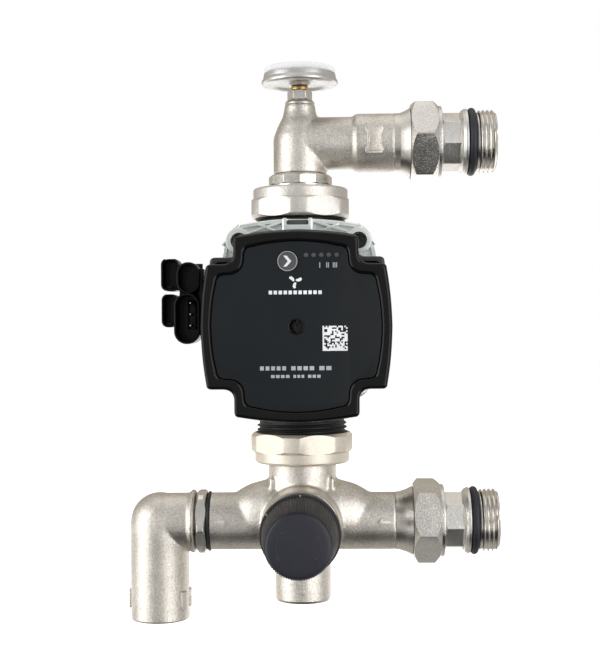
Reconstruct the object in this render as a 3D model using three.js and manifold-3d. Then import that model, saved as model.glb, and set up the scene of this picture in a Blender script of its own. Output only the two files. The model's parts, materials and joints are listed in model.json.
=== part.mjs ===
// Pump and mixing-valve group of an underfloor heating manifold.
// Millimetres, +Z up, front of the pump towards -Y, manifold to the right along +X.
// Each piece is built about the pump's centre: the port axis is Z, the rotor axis is Y.
import * as THREE from 'three';
import { mergeVertices } from 'three/addons/utils/BufferGeometryUtils.js';
import Module from 'manifold-3d';

const wasm = await Module();
wasm.setup();

// ---------- driving dimensions ----------
const PORT = 65; // from the pump's centre to each port face: 130 between ports
const UPPER_Z = 97; // axis of the upper manifold connection
const LOWER_Z = -103; // axis of the lower one, 200 below
const END_X = 103; // end face of both connections
const GAP = 0.3; // air between touching pieces
const BORE = 11; // waterway radius of the castings
const G1 = 16.6; // radius over a G1 thread
const G112 = 23.9; // radius over a G1 1/2 thread
const INLET_X = -76; // axis of the inlet elbow's drop
const FACETS = 16; // sides of a round piece
const ROUND = 20; // sides of a wide or much-seen one
const COARSE = 8; // sides of a small or hidden one

// ---------- solids ----------
function solidOf(geometry) {
  geometry.deleteAttribute('normal');
  geometry.deleteAttribute('uv');
  const merged = mergeVertices(geometry, 1e-4);
  const position = merged.attributes.position.array;
  const corners = [];
  for (let i = 0; i < merged.index.count; i += 3) {
    const [a, b, c] = [0, 1, 2].map((k) => merged.index.getX(i + k));
    if (a !== b && b !== c && a !== c) corners.push(a, b, c);
  }
  const build = (order) =>
    new wasm.Manifold(
      new wasm.Mesh({ numProp: 3, vertProperties: position, triVerts: new Uint32Array(order) }),
    );
  const made = build(corners);
  return made.volume() < 0 ? build(corners.reverse()) : made;
}

const join = (first, ...rest) => rest.reduce((sum, s) => sum.add(s), first);
const cut = (first, ...rest) => rest.reduce((left, s) => left.subtract(s), first);
const moved = (solid, x, y, z) => solid.translate([x, y, z]);
const turned = (solid, x, y, z) => solid.rotate([x, y, z]);

// A turned piece: points are [distance along the axis, radius], closed on the axis or on themselves.
function lathe(axis, points, sides = FACETS) {
  const profile = points.map(([along, radius]) => new THREE.Vector2(radius, along));
  const open = points[0][1] > 0 || points.at(-1)[1] > 0;
  if (open) profile.push(profile[0].clone());
  const geometry = new THREE.LatheGeometry(profile, sides);
  if (axis === 'z') geometry.rotateX(Math.PI / 2);
  if (axis === 'x') geometry.rotateZ(-Math.PI / 2);
  return solidOf(geometry);
}

const rod = (axis, from, to, radius, sides) =>
  lathe(axis, [[from, 0], [from, radius], [to, radius], [to, 0]], sides);

const ring = (axis, from, to, inner, outer, sides) =>
  lathe(axis, [[from, inner], [from, outer], [to, outer], [to, inner]], sides);

function box(x0, x1, y0, y1, z0, z1) {
  const geometry = new THREE.BoxGeometry(x1 - x0, y1 - y0, z1 - z0);
  geometry.translate((x0 + x1) / 2, (y0 + y1) / 2, (z0 + z1) / 2);
  return solidOf(geometry);
}

// An upright outline in X and Z, pushed out from y = back towards the front.
function plate(shape, back, front, curveSegments = 5) {
  const depth = back - front;
  const geometry = new THREE.ExtrudeGeometry(shape, { depth, curveSegments, bevelEnabled: false });
  geometry.rotateX(Math.PI / 2).translate(0, back, 0);
  return solidOf(geometry);
}

// A bar with `count` flats, `flats` across them.
function faceted(axis, from, to, flats, count, turn = 0) {
  const radius = flats / 2 / Math.cos(Math.PI / count);
  const bar = rod(axis, from, to, radius, count);
  if (axis === 'z') return turned(bar, 0, 0, turn);
  return axis === 'x' ? turned(bar, turn, 0, 0) : turned(bar, 0, turn, 0);
}

// ---------- materials ----------
const finish = (color, roughness, metalness) =>
  new THREE.MeshStandardMaterial({ color, roughness, metalness });
const nickel = finish(0xc9c3b8, 0.35, 1);
const polished = finish(0xd6d2ca, 0.18, 1);
const brass = finish(0xc79a45, 0.3, 1);
const aluminium = finish(0xc6cbc8, 0.4, 1);
const steel = finish(0x8d9094, 0.35, 1);
const darkSteel = finish(0x4a4a4c, 0.4, 1);
const castIron = finish(0x15161a, 0.5, 0.3);
const rubber = finish(0x14161b, 0.7, 0);
const blackPlastic = finish(0x101014, 0.3, 0);
const knobPlastic = finish(0x26262b, 0.55, 0);
const panelFilm = finish(0x1d2124, 0.45, 0);
const greyPlastic = finish(0x55575a, 0.5, 0);
const whiteDial = finish(0xf2f2ee, 0.5, 0);
const clear = new THREE.MeshStandardMaterial({ color: 0xe8eef0, opacity: 0.35, transparent: true });
const copper = finish(0xb5643a, 0.4, 1);
const ceramic = finish(0xe4e0d6, 0.3, 0);
const ferrite = finish(0x3a3a3e, 0.6, 0.2);
const boardGreen = finish(0x1f6b3c, 0.5, 0);

// ---------- the group ----------
const group = new THREE.Group();
// The part's origin is the middle of the lower connection's end face.
const offset = new THREE.Vector3(-END_X, 0, -LOWER_Z);

function add(name, solid, material) {
  const mesh = solid.getMesh();
  const position = new Float32Array(mesh.numVert * 3);
  for (let i = 0; i < mesh.numVert; i++) {
    position.set(mesh.vertProperties.subarray(i * mesh.numProp, i * mesh.numProp + 3), i * 3);
  }
  const geometry = new THREE.BufferGeometry();
  geometry.setAttribute('position', new THREE.BufferAttribute(position, 3));
  geometry.setIndex(new THREE.BufferAttribute(mesh.triVerts, 1));
  geometry.computeVertexNormals();
  const piece = new THREE.Mesh(geometry, material);
  piece.name = name;
  piece.position.copy(offset);
  group.add(piece);
}

// ---------- manifold unions, one at each connection ----------
const UNION = {
  nutStart: 58.2, nutEnd: 74.5, seat: 66, // the casting's threaded end stops at the seat
  nutFlats: 39, lip: 14.3, sleeve: 13.5, nippleStart: 74.9, nippleFlats: 28.4, octagonEnd: 84.7,
};

function addUnion(side, z, nutTurn) {
  const u = UNION;
  const nut = join(
    faceted('x', u.nutStart + 0.4, 72, u.nutFlats, 6, nutTurn).intersect(
      lathe('x', [[u.nutStart, 0], [u.nutStart, 19.6], [61.4, 22.6], [69, 22.6], [73, 19.4], [73, 0]]),
    ),
    rod('x', 70, u.nutEnd, 19),
  );
  const threadRoom = rod('x', u.nutStart - 1, 71.4, G1 + GAP);
  const lipRoom = rod('x', 71, u.nutEnd + 1, u.lip);
  add(`${side}_union_nut`, moved(cut(nut, threadRoom, lipRoom), 0, 0, z), polished);

  const gasket = ring('x', u.seat + GAP, u.seat + 2, 12, 16.2);
  add(`${side}_union_gasket`, moved(gasket, 0, 0, z), rubber);

  const tail = lathe('x', [
    [68.3, BORE], [68.3, 16.2], [71, 16.2], [71, u.sleeve], [80, u.sleeve], [80, BORE],
  ]);
  add(`${side}_union_tail`, moved(tail, 0, 0, z), polished);

  const body = lathe('x', [
    [84, 0], [84, 15.2], [85.5, 17.2], [88, 17.2], [88, 13.6], [92.6, 13.6], [92.6, G1 - 0.6],
    [93.4, G1], [END_X - 0.8, G1], [END_X, G1 - 0.8], [END_X, 0],
  ]);
  const octagon = faceted('x', u.nippleStart, u.octagonEnd, u.nippleFlats, 8, 7);
  const socket = rod('x', u.nippleStart - 1, 80.3, u.sleeve + GAP);
  const nipple = cut(join(octagon, body), socket, rod('x', 79, END_X + 1, BORE + 0.8));
  add(`${side}_union_nipple`, moved(nipple, 0, 0, z), polished);

  const section = [];
  for (let i = 0; i < 6; i++) {
    const angle = (i * Math.PI) / 3;
    section.push([90.3 + 1.9 * Math.cos(angle), 15.85 + 1.9 * Math.sin(angle)]);
  }
  add(`${side}_union_oring`, moved(lathe('x', section), 0, 0, z), rubber);
}
addUnion('upper', UPPER_Z, -4.6);
addUnion('lower', LOWER_Z, 13.6);

// ---------- unions between the pump's ports and the castings ----------
// Built for the upper port; `up` is -1 for the lower one, and `start` is the nut's open end.
function addPumpUnion(side, up, start, turn, tail) {
  const length = 16;
  const hexEnd = start + 10.3;
  const end = start + length;
  const hex = faceted('z', start, hexEnd, 51, 6, turn).intersect(
    lathe('z', [[start, 0], [start, 25.2], [start + 1.6, 27.15], [hexEnd - 1, 27.15], [hexEnd, 26], [hexEnd, 0]]),
  );
  const collar = lathe('z', [[hexEnd - 1, 0], [hexEnd - 1, 25], [end - 1, 25], [end, 24], [end, 0]]);
  const nut = cut(
    join(hex, collar),
    rod('z', start - 1, 69.9, G112 + GAP),
    rod('z', 69, end + 1, 17.1),
  );
  const flip = (solid) => (up > 0 ? solid : turned(solid, 180, 0, 0));
  add(`${side}_pump_nut`, flip(nut), nickel);
  add(`${side}_pump_gasket`, flip(ring('z', PORT + GAP, PORT + 1.5, 13.5, 22)), rubber);
  add(`${side}_tailpiece`, flip(tail), nickel);
}

// The upper tailpiece has a twelve-sided collar, for a spanner.
const upperTail = cut(
  join(
    lathe('z', [[66.8, 0], [66.8, 22.5], [69.6, 22.5], [69.6, 16], [76, 16], [76, 0]]),
    faceted('z', 74.6, 80.2, 32.2, 12).intersect(
      lathe('z', [[74, 0], [74, 17], [78.6, 17], [80.2, 15.2], [80.2, 0]]),
    ),
    rod('z', 80, 90, 11.9),
  ),
  rod('z', 66, 91, 10),
);
addPumpUnion('upper', 1, 57, 0, upperTail);

const lowerTail = lathe('z', [
  [66.8, 12.3], [66.8, 22.5], [69.6, 22.5], [69.6, 16.6], [72, 16.6], [72, 15], [82, 15], [82, 12.3],
]);
addPumpUnion('lower', -1, 55.7, 11, lowerTail);

// ---------- upper elbow and its thermometer ----------
const NECK_TOP = 119.8;
function upperElbow() {
  const arm = lathe('x', [
    [0, 0], [0, 13.85], [28, 13.85], [29.6, 15.4], [52.7, 15.4], [55.5, 16.6], [57.9, 18.1],
    [57.9, G1 - 0.6], [58.4, G1], [UNION.seat, G1], [UNION.seat, 0],
  ]);
  const drop = lathe('z', [[80.5, 0], [80.5, 13.6], [82.5, 14.1], [UPPER_Z, 14.1], [UPPER_Z, 0]]);
  const heel = new THREE.SphereGeometry(14.1, FACETS, 8);
  heel.rotateX(Math.PI / 2).translate(0, 0, UPPER_Z);
  const neck = lathe('z', [
    [UPPER_Z, 0], [UPPER_Z, 10.5], [110.5, 9.6], [112.5, 8.3], [118, 7.8], [NECK_TOP, 6.9], [NECK_TOP, 0],
  ]);
  const pad = box(34, 44, -16.2, -10, UPPER_Z - 7.7, UPPER_Z + 7.7);
  return cut(
    join(moved(arm, 0, 0, UPPER_Z), drop, solidOf(heel), neck, pad),
    moved(rod('x', 0, UNION.seat + 1, BORE), 0, 0, UPPER_Z),
    rod('z', 79, UPPER_Z, BORE),
    rod('z', 79, 91, 12.2),
    rod('z', UPPER_Z, NECK_TOP + 1, 5.3, COARSE),
  );
}
add('upper_elbow', upperElbow(), nickel);

// The pocket screws into the neck and keeps the stem out of the water.
const pocket = cut(
  join(
    faceted('z', NECK_TOP + GAP, 124.8, 11.5, 6, 0),
    rod('z', 104, NECK_TOP + 1, 5, COARSE),
    rod('z', 90, 105, 4.2, COARSE),
  ),
  rod('z', 92, 126, 3.1, COARSE),
);
add('thermometer_pocket', pocket, nickel);

const stem = join(
  rod('z', 125.1, 127.2, 4.9, COARSE),
  rod('z', 94, 126, 2.6, COARSE),
);
add('thermometer_stem', stem, brass);

const DISH = { floor: 128, rim: 133.9, lens: 137.3, radius: 20.3 };
const dish = cut(
  lathe('z', [
    [127.5, 0], [127.5, 6], [128.6, 7.4], [128.6, 15], [127.6, 16.4], [127.6, 19.2], [128.4, 20.3],
    [129.6, 20.3], [133.6, 19], [DISH.rim, 18.7], [DISH.rim, 0],
  ]),
  rod('z', 130.2, 135, 17.6),
  rod('z', 126, 131, 1.1, 12),
);
add('thermometer_case', dish, steel);
add('thermometer_dial', ring('z', 130.5, 131.1, 1.1, 17.2), whiteDial);

// The scale runs 270 degrees clockwise from the front left; at rest the pointer shows a quarter of it.
const DIAL_REST = 67.5;
const pointer = join(
  rod('z', 127.5 + GAP, 133, 0.8, 12),
  rod('z', 131.6, 132.4, 2.4, COARSE),
  box(-0.7, 0.7, 0, 14.5, 131.7, 132.2),
  box(-1.1, 1.1, -6, 0, 131.7, 132.2),
);
add('thermometer_pointer', turned(pointer, 0, 0, DIAL_REST), darkSteel);

const lens = cut(
  lathe('z', [
    [DISH.rim + GAP, 0], [DISH.rim + GAP, 18.9], [136.4, 18.7], [DISH.lens, 17.9], [DISH.lens, 0],
  ]),
  rod('z', 133, 135.8, 17.1),
);
add('thermometer_lens', lens, clear);

// ---------- mixing valve ----------
const VALVE = { boss: -38, chamber: 13.4, stubEnd: -144.6 };
function valveBody() {
  const run = lathe('x', [
    [-48.2, 0], [-48.2, 13.6], [-46, 15.1], [50.3, 15.1], [55, 16.4], [57.9, 18.1],
    [57.9, G1 - 0.6], [58.4, G1], [UNION.seat, G1], [UNION.seat, 0],
  ]);
  // The chamber swells upwards only, so it is turned about a line 4 above the run's axis.
  const swell = lathe('x', [
    [-37.5, 0], [-37, 8], [-34.3, 11.3], [-28, 15.6], [-19, 18], [-8, 18.9],
    [8, 18.9], [19, 18], [28, 15.6], [34.3, 11.3], [37, 8], [37.5, 0],
  ]);
  const boss = lathe('y', [[VALVE.boss, 0], [VALVE.boss, 19.5], [-36.5, 20.5], [4, 20.5], [4, 0]]);
  const riser = rod('z', LOWER_Z, -72.4, 18);
  const stub = lathe('z', [
    [VALVE.stubEnd, 0], [VALVE.stubEnd, 13.7], [VALVE.stubEnd + 1.2, 14.85], [LOWER_Z, 14.85], [LOWER_Z, 0],
  ]);
  const arrow = new THREE.Shape();
  arrow.moveTo(0, -136).lineTo(-3, -131.5).lineTo(-1, -131.5).lineTo(-1, -127).lineTo(1, -127);
  arrow.lineTo(1, -131.5).lineTo(3, -131.5).closePath();
  return cut(
    join(
      moved(run, 0, 0, LOWER_Z),
      moved(swell, 0, 0, LOWER_Z + 4),
      moved(boss, 0, 0, LOWER_Z),
      riser,
      stub,
      plate(arrow, -12, -15.5),
    ),
    moved(rod('x', -49, UNION.seat + 1, BORE), 0, 0, LOWER_Z),
    moved(rod('x', -49, -38, 12.2), 0, 0, LOWER_Z),
    rod('z', LOWER_Z, -72, 12.3),
    rod('z', -82.5, -72, 15.3),
    rod('z', VALVE.stubEnd - 1, LOWER_Z, BORE),
    rod('z', VALVE.stubEnd - 1, VALVE.stubEnd + 14, 11.9),
    moved(rod('y', VALVE.boss - 1, 13.6, VALVE.chamber), 0, 0, LOWER_Z),
    moved(rod('y', VALVE.boss - 1, -24, 16.3), 0, 0, LOWER_Z),
  );
}
add('valve_body', valveBody(), nickel);

// Everything in the valve's front boss turns or slides on one line along Y.
const onValve = (name, solid, material) => add(name, moved(solid, 0, 0, LOWER_Z), material);

const bonnet = cut(
  join(rod('y', -38.5, -25, 16), faceted('y', -44.5, -38.3, 34, 6, 30), rod('y', -47, -44, 9)),
  rod('y', -48, -20, 4.3),
  rod('y', -36, -24, 10.5),
);
onValve('valve_bonnet', bonnet, polished);

const spindle = join(
  rod('y', -70, -27, 3.2, COARSE),
  rod('y', -35.5 + 2.2, -31, 6.5, COARSE),
);
onValve('valve_spindle', spindle, brass);

const element = join(rod('y', -26.7, -20, 3, COARSE), rod('y', -20.5, 1, 6.2), rod('y', -13, -11.5, 8));
onValve('thermostat_element', element, copper);

const shutter = cut(
  join(rod('y', -10, 5, 12.9), rod('y', 4, 6, 5)),
  cut(rod('y', -11, 3, 11.6), rod('y', -2, 4, 7.4)),
  rod('y', -11, 1.3, 6.5),
  ...[45, 135, 225, 315].map((angle) => turned(moved(rod('y', -12, 6.5, 1.8, 8), 9.6, 0, 0), 0, angle, 0)),
);
onValve('mixing_shutter', shutter, ceramic);

// Return spring behind the shutter: three turns of 1.2 mm wire.
class Helix extends THREE.Curve {
  getPoint(t) {
    const angle = t * 3 * 2 * Math.PI;
    return new THREE.Vector3(9 * Math.cos(angle), 7.6 + 4.8 * t, 9 * Math.sin(angle));
  }
}
function springWire() {
  const section = new THREE.Shape();
  const sides = 5;
  for (let i = 0; i < sides; i++) {
    const angle = (i / sides) * 2 * Math.PI;
    const [x, y] = [0.6 * Math.cos(angle), 0.6 * Math.sin(angle)];
    if (i) section.lineTo(x, y);
    else section.moveTo(x, y);
  }
  section.closePath();
  const geometry = new THREE.ExtrudeGeometry(section, { steps: 30, extrudePath: new Helix() });
  return solidOf(geometry);
}
onValve('shutter_spring', springWire(), steel);

const scaleRing = ring('y', -49.5, -47.3, 18, 20.4, ROUND);
const lugs = [40, 160, 280].map((angle) => turned(box(9.4, 18.6, -48.6, -47.3, -2, 2), 0, angle, 0));
onValve('scale_ring', join(scaleRing, ring('y', -48.6, -47.3, 9.6, 12), ...lugs), blackPlastic);

const KNOB = { back: -49.8, front: -79.5, rimBack: 19.4, rimFront: 16.5 };
const knob = cut(
  join(
    cut(
      lathe('y', [[KNOB.front, 0], [KNOB.front, KNOB.rimFront], [KNOB.back, KNOB.rimBack], [KNOB.back, 0]], ROUND),
      lathe('y', [[-76.8, 0], [-76.8, 14.8], [KNOB.back + 1, 17.5], [KNOB.back + 1, 0]], ROUND),
    ),
    rod('y', -77.5, -51.5, 5.6, COARSE),
  ),
  rod('y', -72.5, -51, 3.6, COARSE),
  rod('y', -80, -72, 1.9, 12),
  rod('y', -80, -78.2, 3.9, COARSE),
);
onValve('knob', knob, knobPlastic);
onValve('knob_screw', join(rod('y', -79.3, -78.5, 3.5, COARSE), rod('y', -78.7, -73.4, 1.5, 12)), steel);
onValve('knob_cap', lathe('y', [[-82.3, 0], [-82.3, 14.6], [-81.4, 15.7], [-79.8, 15.7], [-79.8, 0]], ROUND), knobPlastic);

// ---------- inlet elbow, screwed to the valve's left end ----------
function inletElbow() {
  const arm = lathe('x', [
    [INLET_X, 0], [INLET_X, 15], [-60, 15], [-58.8, 16.7], [-57.2, 16.7], [-56.3, 15.2],
    [-56.3, 11.9], [-38.5, 11.9], [-38.5, 0],
  ]);
  const drop = lathe('z', [[-154.5, 0], [-154.5, 14.9], [-153.8, 15.6], [LOWER_Z, 15.6], [LOWER_Z, 0]]);
  const heel = new THREE.SphereGeometry(15.3, FACETS, 8);
  heel.rotateX(Math.PI / 2).translate(INLET_X, 0, LOWER_Z);
  // Raised pads keep a spanner or clip from slipping round.
  const pads = [-85, 57, 95, 175].map((angle) =>
    moved(turned(box(-2.2, 2.2, -16.6, -12, -148.3, -138.8), 0, 0, angle), INLET_X, 0, 0));
  return cut(
    join(moved(arm, 0, 0, LOWER_Z), moved(drop, INLET_X, 0, 0), solidOf(heel), ...pads),
    moved(rod('x', INLET_X, -38, 10), 0, 0, LOWER_Z),
    moved(rod('z', -156, LOWER_Z, BORE), INLET_X, 0, 0),
    moved(rod('z', -156, -139, 12.9), INLET_X, 0, 0),
  );
}
add('inlet_elbow', inletElbow(), nickel);

const ringNut = cut(
  faceted('x', -55.9, -50.2, 31, 6, 5.5).intersect(
    lathe('x', [[-55.9, 0], [-55.9, 15.4], [-54.4, 17], [-52, 17], [-50.2, 15.3], [-50.2, 0]]),
  ),
  rod('x', -57, -49, 12.2),
);
add('inlet_ring_nut', moved(ringNut, 0, 0, LOWER_Z), polished);
add('inlet_oring', moved(ring('x', -49.9, -48.5, 12.3, 15.7), 0, 0, LOWER_Z), rubber);

// ---------- pump: wet end ----------
const FLANGE = { top: 54.5, side: 38, face: -24 };
const SCREWS = [[-30, 43], [30, 43], [-28, -29], [28, -29]];

// Outline shared by the volute's flange and the motor housing: wide and arched at the top.
function flangeOutline() {
  const s = new THREE.Shape();
  s.moveTo(-24, -37).lineTo(24, -37).quadraticCurveTo(36, -37, 36, -25);
  s.lineTo(FLANGE.side + 3, 0).lineTo(FLANGE.side + 1.5, 33).lineTo(37, 44);
  s.quadraticCurveTo(35, 50.5, 29, 51.8).quadraticCurveTo(14, FLANGE.top, 0, FLANGE.top);
  s.quadraticCurveTo(-14, FLANGE.top, -29, 51.8).quadraticCurveTo(-35, 50.5, -37, 44);
  s.lineTo(-FLANGE.side - 1.5, 33).lineTo(-FLANGE.side - 3, 0).lineTo(-36, -25);
  s.quadraticCurveTo(-36, -37, -24, -37);
  return s;
}
const screwRoom = (radius, back, front) =>
  SCREWS.map(([x, z]) => moved(rod('y', front, back, radius, 12), x, 0, z));

function pumpHousing() {
  const volute = lathe('y', [[-24, 0], [-24, 38], [12, 38], [22, 34], [30, 25], [34, 14], [34, 0]]);
  const port = (end) =>
    lathe('z', [[0, 0], [0, 19], [47, 19], [49, G112], [end - 0.8, G112], [end, G112 - 0.8], [end, 0]]);
  return cut(
    join(volute, plate(flangeOutline(), -16, FLANGE.face, 3), port(PORT), turned(port(PORT), 180, 0, 0)),
    rod('y', -25, -21, 35.5), // mouth, closed by the bearing plate
    rod('y', -22, -5, 33), // impeller chamber
    rod('y', -6, 3, 9.7), // eye
    rod('y', 2, 20, 20), // suction chamber
    moved(rod('z', -48, 0, 7.6, COARSE), 0, 10, 0), // suction channel
    rod('z', -66, -46, 13.5),
    moved(rod('z', 24, 48, 7.5, COARSE), 0, -13, 0), // pressure channel
    rod('z', 45, 66, 13.5),
    ...screwRoom(1.9, -17.5, -25),
  );
}
add('pump_housing', pumpHousing(), castIron);

add('bearing_plate', lathe('y', [
  [-21.3, 9], [-21.3, 35], [-22.6, 35], [-22.6, 13], [-28, 13], [-28, 9],
]), steel);
add('rear_bearing', ring('y', -28, -20.5, 4.4, 8.6), ceramic);
add('front_bearing', ring('y', -52.8, -50, 4.4, 17.4), ceramic);
add('rotor_can', lathe('y', [
  [-54.2, 0], [-54.2, 18.4], [-26, 18.4], [-26, 35], [-25.2, 35], [-25.2, 17.8], [-53.4, 17.8], [-53.4, 0],
]), steel);

function impeller() {
  const rear = cut(rod('y', -20, -18.6, 29.5), rod('y', -21, -18, 4.4, COARSE));
  const front = ring('y', -8.6, -7.2, 8, 29.5);
  const neckRing = ring('y', -8, -3.5, 8, 9.3, COARSE);
  const hub = ring('y', -20, -12, 4.4, 7, COARSE);
  const vane = new THREE.Shape();
  vane.moveTo(6, 0).quadraticCurveTo(18, 1, 27.5, 10).lineTo(26.6, 11.2).quadraticCurveTo(17, 2.6, 6, 1.4);
  const vanes = [0, 1, 2, 3, 4, 5].map((i) => turned(plate(vane, -7.9, -19, 2), 0, i * 60, 0));
  return join(rear, hub, ...vanes, front, neckRing);
}
add('impeller', impeller(), greyPlastic);
add('shaft', rod('y', -52.6, -11, 4.1, COARSE), ceramic);
add('rotor', ring('y', -49.4, -29.5, 4.4, 17.2), ferrite);

// ---------- pump: motor ----------
const SLOTS = [0, 1, 2, 3, 4, 5].map((i) => i * 60 + 30);
const core = cut(
  ring('y', -49, -30, 18.8, 33.6),
  ...SLOTS.map((angle) => turned(box(-4, 4, -50, -29, 21.5, 28.5), 0, angle, 0)),
);
add('stator_core', core, steel);
const winding = join(
  lathe('y', [[-29.7, 20.5], [-29.7, 31], [-28, 30], [-27.2, 26], [-28, 21]]),
  lathe('y', [[-49.3, 20.5], [-49.3, 31], [-52, 30], [-53, 26], [-52, 21]]),
  ...SLOTS.map((angle) => turned(box(-3.6, 3.6, -50, -29, 22, 28), 0, angle, 0)),
);
add('stator_winding', winding, copper);

const motorHousing = cut(
  join(plate(flangeOutline(), FLANGE.face - GAP, -32.5, 3), rod('y', -58, -32, 40.6, ROUND)),
  rod('y', -26.3, -24, 35.4),
  rod('y', -55.6, -24, 33.9),
  rod('y', -59, -55, 6, COARSE),
  ...screwRoom(2.3, -24, -33),
  ...screwRoom(4.2, -29, -60),
);
add('motor_housing', motorHousing, aluminium);

SCREWS.forEach(([x, z], i) => {
  const head = cut(rod('y', -33, -29.3, 3.8, COARSE), faceted('y', -34, -31, 3.4, 6));
  add(`motor_screw_${i + 1}`, moved(join(head, rod('y', -29.6, -18, 1.6, 12)), x, 0, z), darkSteel);
});

// ---------- pump: control box ----------
// A square with arched sides and a step at each corner, `inset` smaller all round.
function boxOutline(inset, step = 0) {
  const arch = 44.4 - inset; // middle of a side
  const side = 42 - inset; // where a side meets its corners
  const near = 29 - inset + step; // where the corner step starts
  const corner = 2.6;
  const inner = 5.5 + inset * 0.6; // the step's own fillet
  const s = new THREE.Shape();
  // One quarter, from the middle of the right side to the middle of the top, turned four times.
  for (let quarter = 0; quarter < 4; quarter++) {
    const [c, n] = [[1, 0], [0, 1], [-1, 0], [0, -1]][quarter];
    const p = (x, z) => [x * c - z * n, x * n + z * c];
    const [k, u] = [corner, inner];
    if (!quarter) s.moveTo(...p(arch, 0));
    s.quadraticCurveTo(...p(arch - 0.3, near / 2), ...p(side, near - k));
    s.quadraticCurveTo(...p(side, near), ...p(side - k, near));
    s.lineTo(...p(near + u, near));
    s.quadraticCurveTo(...p(near, near), ...p(near, near + u));
    s.lineTo(...p(near, side - k));
    s.quadraticCurveTo(...p(near, side), ...p(near - k, side));
    s.quadraticCurveTo(...p(near / 2, arch - 0.3), ...p(0, arch));
  }
  return s;
}

const PANEL = { front: -89.4, back: -87.2, inset: 5 };
const cover = cut(
  plate(boxOutline(0), -73, -90, 2),
  plate(boxOutline(2), -72, -86, 2),
  plate(boxOutline(PANEL.inset - GAP), -85, -91, 2),
);
add('control_box_cover', cover, blackPlastic);

const BUTTON = { x: -3.9, z: 30.2, radius: 4.7 };
const LAMPS = [4.7, 8.2, 11.7, 15.2, 18.8];
const LAMP_Z = 33;
const panel = cut(
  plate(boxOutline(PANEL.inset), PANEL.back, PANEL.front, 2),
  rod('y', -91, -86, 3.5, COARSE),
  moved(rod('y', -91, -86, BUTTON.radius + GAP), BUTTON.x, 0, BUTTON.z),
  ...LAMPS.map((x) => moved(rod('y', -91, -86, 1.25, 8), x, 0, LAMP_Z)),
);
add('control_panel', panel, panelFilm);

const button = join(rod('y', -89.7, -86.3, BUTTON.radius), rod('y', -87, -83.4, 1.8, COARSE));
add('mode_button', moved(button, BUTTON.x, 0, BUTTON.z), greyPlastic);

const guides = LAMPS.map((x) => moved(rod('y', -89.4, -85, 0.95, 8), x, 0, LAMP_Z));
add('led_light_guide', join(box(3.6, 19.9, -86.8, -84.8, LAMP_Z - 1, LAMP_Z + 1), ...guides), clear);

const boxBase = cut(
  plate(boxOutline(0.4, 4.5), -58.6, -72.6, 2),
  plate(boxOutline(2.6, 4.5), -60.8, -73, 2),
  rod('y', -62, -58, 6, COARSE),
);
add('control_box_base', boxBase, blackPlastic);

const board = cut(
  join(
    box(-29.5, 29.5, -65.6, -64, -29.5, 29.5),
    box(-28, -15, -71, -65, -27, -12),
    box(14, 28, -71, -65, -28, -14),
    moved(rod('y', -77, -65, 6, COARSE), -22, 0, 10),
    box(10, 24, -68, -65, 6, 20),
    box(BUTTON.x - 3, BUTTON.x + 3, -82.4, -65, 27, 33),
  ),
  rod('y', -66, -63, 5, COARSE),
);
add('circuit_board', board, boardGreen);

const plunger = cut(
  join(rod('y', -75, -59.5, 2.9, COARSE), rod('y', -75, -73, 3.3, COARSE)),
  box(-4, 4, -76, -73.6, -0.5, 0.5),
);
add('deblocking_screw', plunger, steel);

// Plug sockets on the left side, open to the front.
function socketBlock() {
  const rounded = (x0, x1, z0, z1, radius) => {
    const s = new THREE.Shape();
    const r = radius;
    s.moveTo(x0 + r, z0).lineTo(x1 - r, z0).absarc(x1 - r, z0 + r, r, -Math.PI / 2, 0);
    s.lineTo(x1, z1 - r).absarc(x1 - r, z1 - r, r, 0, Math.PI / 2);
    s.lineTo(x0 + r, z1).absarc(x0 + r, z1 - r, r, Math.PI / 2, Math.PI);
    s.lineTo(x0, z0 + r).absarc(x0 + r, z0 + r, r, Math.PI, 1.5 * Math.PI);
    return s;
  };
  const tube = (x0, x1, z0, z1, r, back, front, wall) =>
    cut(
      plate(rounded(x0, x1, z0, z1, r), back, front, 2),
      plate(rounded(x0 + wall, x1 - wall, z0 + wall, z1 - wall, r - wall), back - 3, front - 1, 2),
    );
  return join(
    tube(-58.6, -46.2, -8, 16.2, 6, -54, -74, 1.2), // power
    tube(-57.4, -46.2, 16, 31, 5.4, -56, -73, 1.2), // signal
    tube(-65.2, -56.6, 17.4, 33, 3, -54, -70, 1.1), // latch hoods
    tube(-65, -57.6, 0, 16, 3, -54, -70, 1.1),
    box(-58, -46.6, -56, -54, -2, 31),
    box(-47, -44.8, -70, -56, -4, 28),
  );
}
add('socket_block', socketBlock(), blackPlastic);

const pins = join(
  box(-53.5, -49.5, -59.5, -57.3, -1, 13.5),
  ...[11.6, 6.2, 0.8].map((z) => moved(rod('y', -69, -58, 0.8, 8), -51.3, 0, z)),
);
add('power_pins', pins, steel);

export default group;
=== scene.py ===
import json
import math
import random

import bmesh
import bpy
from mathutils import Matrix, Vector


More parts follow.
